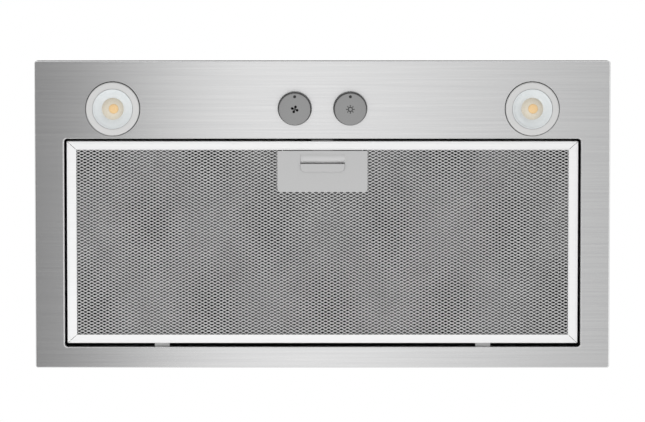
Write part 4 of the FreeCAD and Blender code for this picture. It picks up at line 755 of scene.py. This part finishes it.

# The core is a near-black slab standing in for the pack's shadowed depth: painted shade.
tray_low, tray_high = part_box("latch_tray")
notch_left = tray_low.x - NOTCH_GAP
notch_right = tray_high.x + NOTCH_GAP
notch_rear = tray_high.y + NOTCH_GAP
corners = [(pad_low.x, notch_rear), (pad_low.x, pad_high.y), (pad_high.x, pad_high.y),
           (pad_high.x, pad_low.y), (notch_right, pad_low.y), (notch_right, notch_rear),
           (notch_left, notch_rear), (notch_left, pad_low.y), (pad_low.x, pad_low.y)]
core = bmesh.new()
core.faces.new([core.verts.new((x, y, pad_high.z)) for x, y in corners])
thicken(core, core.faces[:], pad_high.z - pad_low.z - CORE_FRONT)
bmesh.ops.recalc_face_normals(core, faces=core.faces)
add_piece("painted_shade_core", core, core_shade_finish, "filter")


# ---- Latch
# The sliding plate is pressed from satin aluminium.  The deep part of the finger's scoop
# is painted near-white, a painted highlight against its shade, and the bolt past the
# frame's edge is painted near-black, painted shade in the gap.  Its spring is wound from
# drawn wire, and the plate presses it together as it slides back.

SCOOP_START = 0.0026
SCOOP_STOP = 0.0055
BOLT_BLEND = 0.0008
SPRING_WIRE = 0.0006
WIRE_SEGMENTS = 12
SPRING_TURNS = 6
SPRING_STEPS = 40

satin = new_material("latch_aluminium", (0.55, 0.55, 0.55), 0.44, 0.15)
tooth = add_grain(satin, (1800, 1800, 1800))
shade(satin, tooth, (0.49, 0.49, 0.49), (0.53, 0.53, 0.53))
latch_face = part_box("latch_plate")[0].z
# Painted highlight: the scoop turns near-white as it goes deeper, against its shade.
scoop = along(satin, "Z", latch_face + SCOOP_START, latch_face + SCOOP_STOP)
overlay(satin, scoop, (0.95, 0.95, 0.95))
# Painted shade: the bolt turns near-black past the frame's front edge, in the shadowed gap.
bolt = along(satin, "Y", frame_low.y, frame_low.y - BOLT_BLEND)
overlay(satin, bolt, (0.04, 0.04, 0.04))
roughen(satin, tooth, 0.40, 0.50)
dress(satin, "latch_plate")

spring_low, spring_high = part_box("latch_spring")
axis_z = (spring_low.z + spring_high.z) / 2
coil = bmesh.new()
wire = bmesh.ops.create_circle(coil, radius=SPRING_WIRE / 2, segments=WIRE_SEGMENTS)["verts"]
bmesh.ops.translate(coil, verts=wire, vec=(spring_high.x - SPRING_WIRE / 2,
                                           spring_low.y + SPRING_WIRE / 2, axis_z))
reach = spring_high.y - spring_low.y
steps = SPRING_TURNS * SPRING_STEPS
bmesh.ops.spin(coil, geom=coil.verts[:] + coil.edges[:], cent=(0, 0, axis_z), axis=(0, 1, 0),
               dvec=(0, (reach - SPRING_WIRE) / steps, 0), angle=math.tau * SPRING_TURNS,
               steps=steps)
bmesh.ops.holes_fill(coil, edges=[edge for edge in coil.edges if edge.is_boundary])
bmesh.ops.recalc_face_normals(coil, faces=coil.faces)
for face in coil.faces:
    face.smooth = len(face.verts) == 4
spring = add_piece("latch_spring_coil", coil, ground, "filter")
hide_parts("latch_spring")
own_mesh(spring)


# ---- Lamps
# Reflector lamps of 50 mm, each twisted into its holder: a pale moulded shell, a yellow
# chip on a beige board, and a fluted reflector round them.  The reflector is seen through
# the clear lens and takes the place of its solid.

LENS_SEGMENTS = 96
LENS_GAP = 0.0003
# the reflector's rim and slope, as (inset from its radius, depth behind the lens's face)
REFLECTOR_SLOPE = ((0, 0.0019), (0, 0), (0.0005, 0), (0.0011, 0.0005), (0.0012, 0.0008),
                   (0.0035, 0.0016), (0.0058, 0.0030))
REFLECTOR_WALL = 0.001
REFLECTOR_REACH = 0.002
FLUTE_DEPTH = 0.00035
FLUTE_START = 0.0005
FLUTE_STOP = 0.002
BOARD_SEGMENTS = 48
BOARD_DEPTH = 0.0052
BOARD_RADIUS = 0.0108
BOARD_STEP = 0.0006
BOARD_LEDGE = 0.0004
BOARD_GAP = 0.0005
BOARD_SHEET = 0.0001
CHIP_SEGMENTS = 40
CHIP_RADIUS = 0.0046
CHIP_RISE = 0.0009
# the chip's dome, as (share of its radius, depth behind its top)
CHIP_DOME = ((0, 0), (0.55, 0.0001), (0.9, 0.0004), (1, 0.0008), (0, 0.0008))
CHIP_SHIFT = 0.0008

shell_plastic = moulded("lamp_shell", (0.63, 0.63, 0.625), (0.68, 0.68, 0.675), 0.35)
dress(shell_plastic, "left_lamp_shell", "right_lamp_shell")
reflector = new_material("lamp_reflector", (0.80, 0.83, 0.84), 0.2)
reflector_mist = add_grain(reflector, (300, 300, 300))
shade(reflector, reflector_mist, (0.77, 0.81, 0.82), (0.82, 0.85, 0.86))
board_finish = new_material("lamp_board", (0.74, 0.67, 0.54), 0.5)
board_grain = add_grain(board_finish, (700, 700, 700))
shade(board_finish, board_grain, (0.72, 0.65, 0.53), (0.80, 0.74, 0.62))
chip_finish = new_material("lamp_chip", (0.86, 0.58, 0.28), 0.4)
chip_grain = add_grain(chip_finish, (900, 900, 900))
shade(chip_finish, chip_grain, (0.84, 0.55, 0.25), (0.90, 0.64, 0.34))

for side in ("left", "right"):
    low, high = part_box(side + "_lamp_lens")
    centre = Vector(((low.x + high.x) / 2, (low.y + high.y) / 2, 0))
    rim = (high.x - low.x) / 2 - LENS_GAP
    floor_z = low.z + BOARD_DEPTH
    back = floor_z + REFLECTOR_WALL
    outline = [(0, back), (BOARD_RADIUS + REFLECTOR_REACH, back)]
    outline += [(rim - inset, low.z + depth) for inset, depth in REFLECTOR_SLOPE]
    outline += [(BOARD_RADIUS, floor_z - BOARD_STEP), (BOARD_RADIUS - BOARD_LEDGE, floor_z),
                (0, floor_z)]
    optic = turned(outline, centre, LENS_SEGMENTS)
    optic.verts.index_update()
    for vert in optic.verts:
        away = Vector((vert.co.x - centre.x, vert.co.y - centre.y, 0))
        if BOARD_RADIUS + FLUTE_START < away.length < rim - FLUTE_STOP:
            wave = math.cos(math.atan2(away.y, away.x) * LENS_SEGMENTS / 2)
            vert.co.z += FLUTE_DEPTH * wave
    made = add_piece(side + "_lamp_reflector", optic, reflector, "root")
    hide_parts(side + "_lamp_lens")

    edge = BOARD_RADIUS - BOARD_GAP
    board = turned([(0, floor_z - BOARD_SHEET), (edge, floor_z - BOARD_SHEET), (edge, floor_z),
                    (0, floor_z)], centre, BOARD_SEGMENTS)
    add_piece(side + "_lamp_board", board, board_finish, "root")
    dome = [(CHIP_RADIUS * share, floor_z - CHIP_RISE + depth) for share, depth in CHIP_DOME]
    chip = turned(dome, centre + Vector((CHIP_SHIFT, 0, 0)), CHIP_SEGMENTS)
    made = add_piece(side + "_lamp_chip", chip, chip_finish, "root")
    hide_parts(side + "_lamp_led")
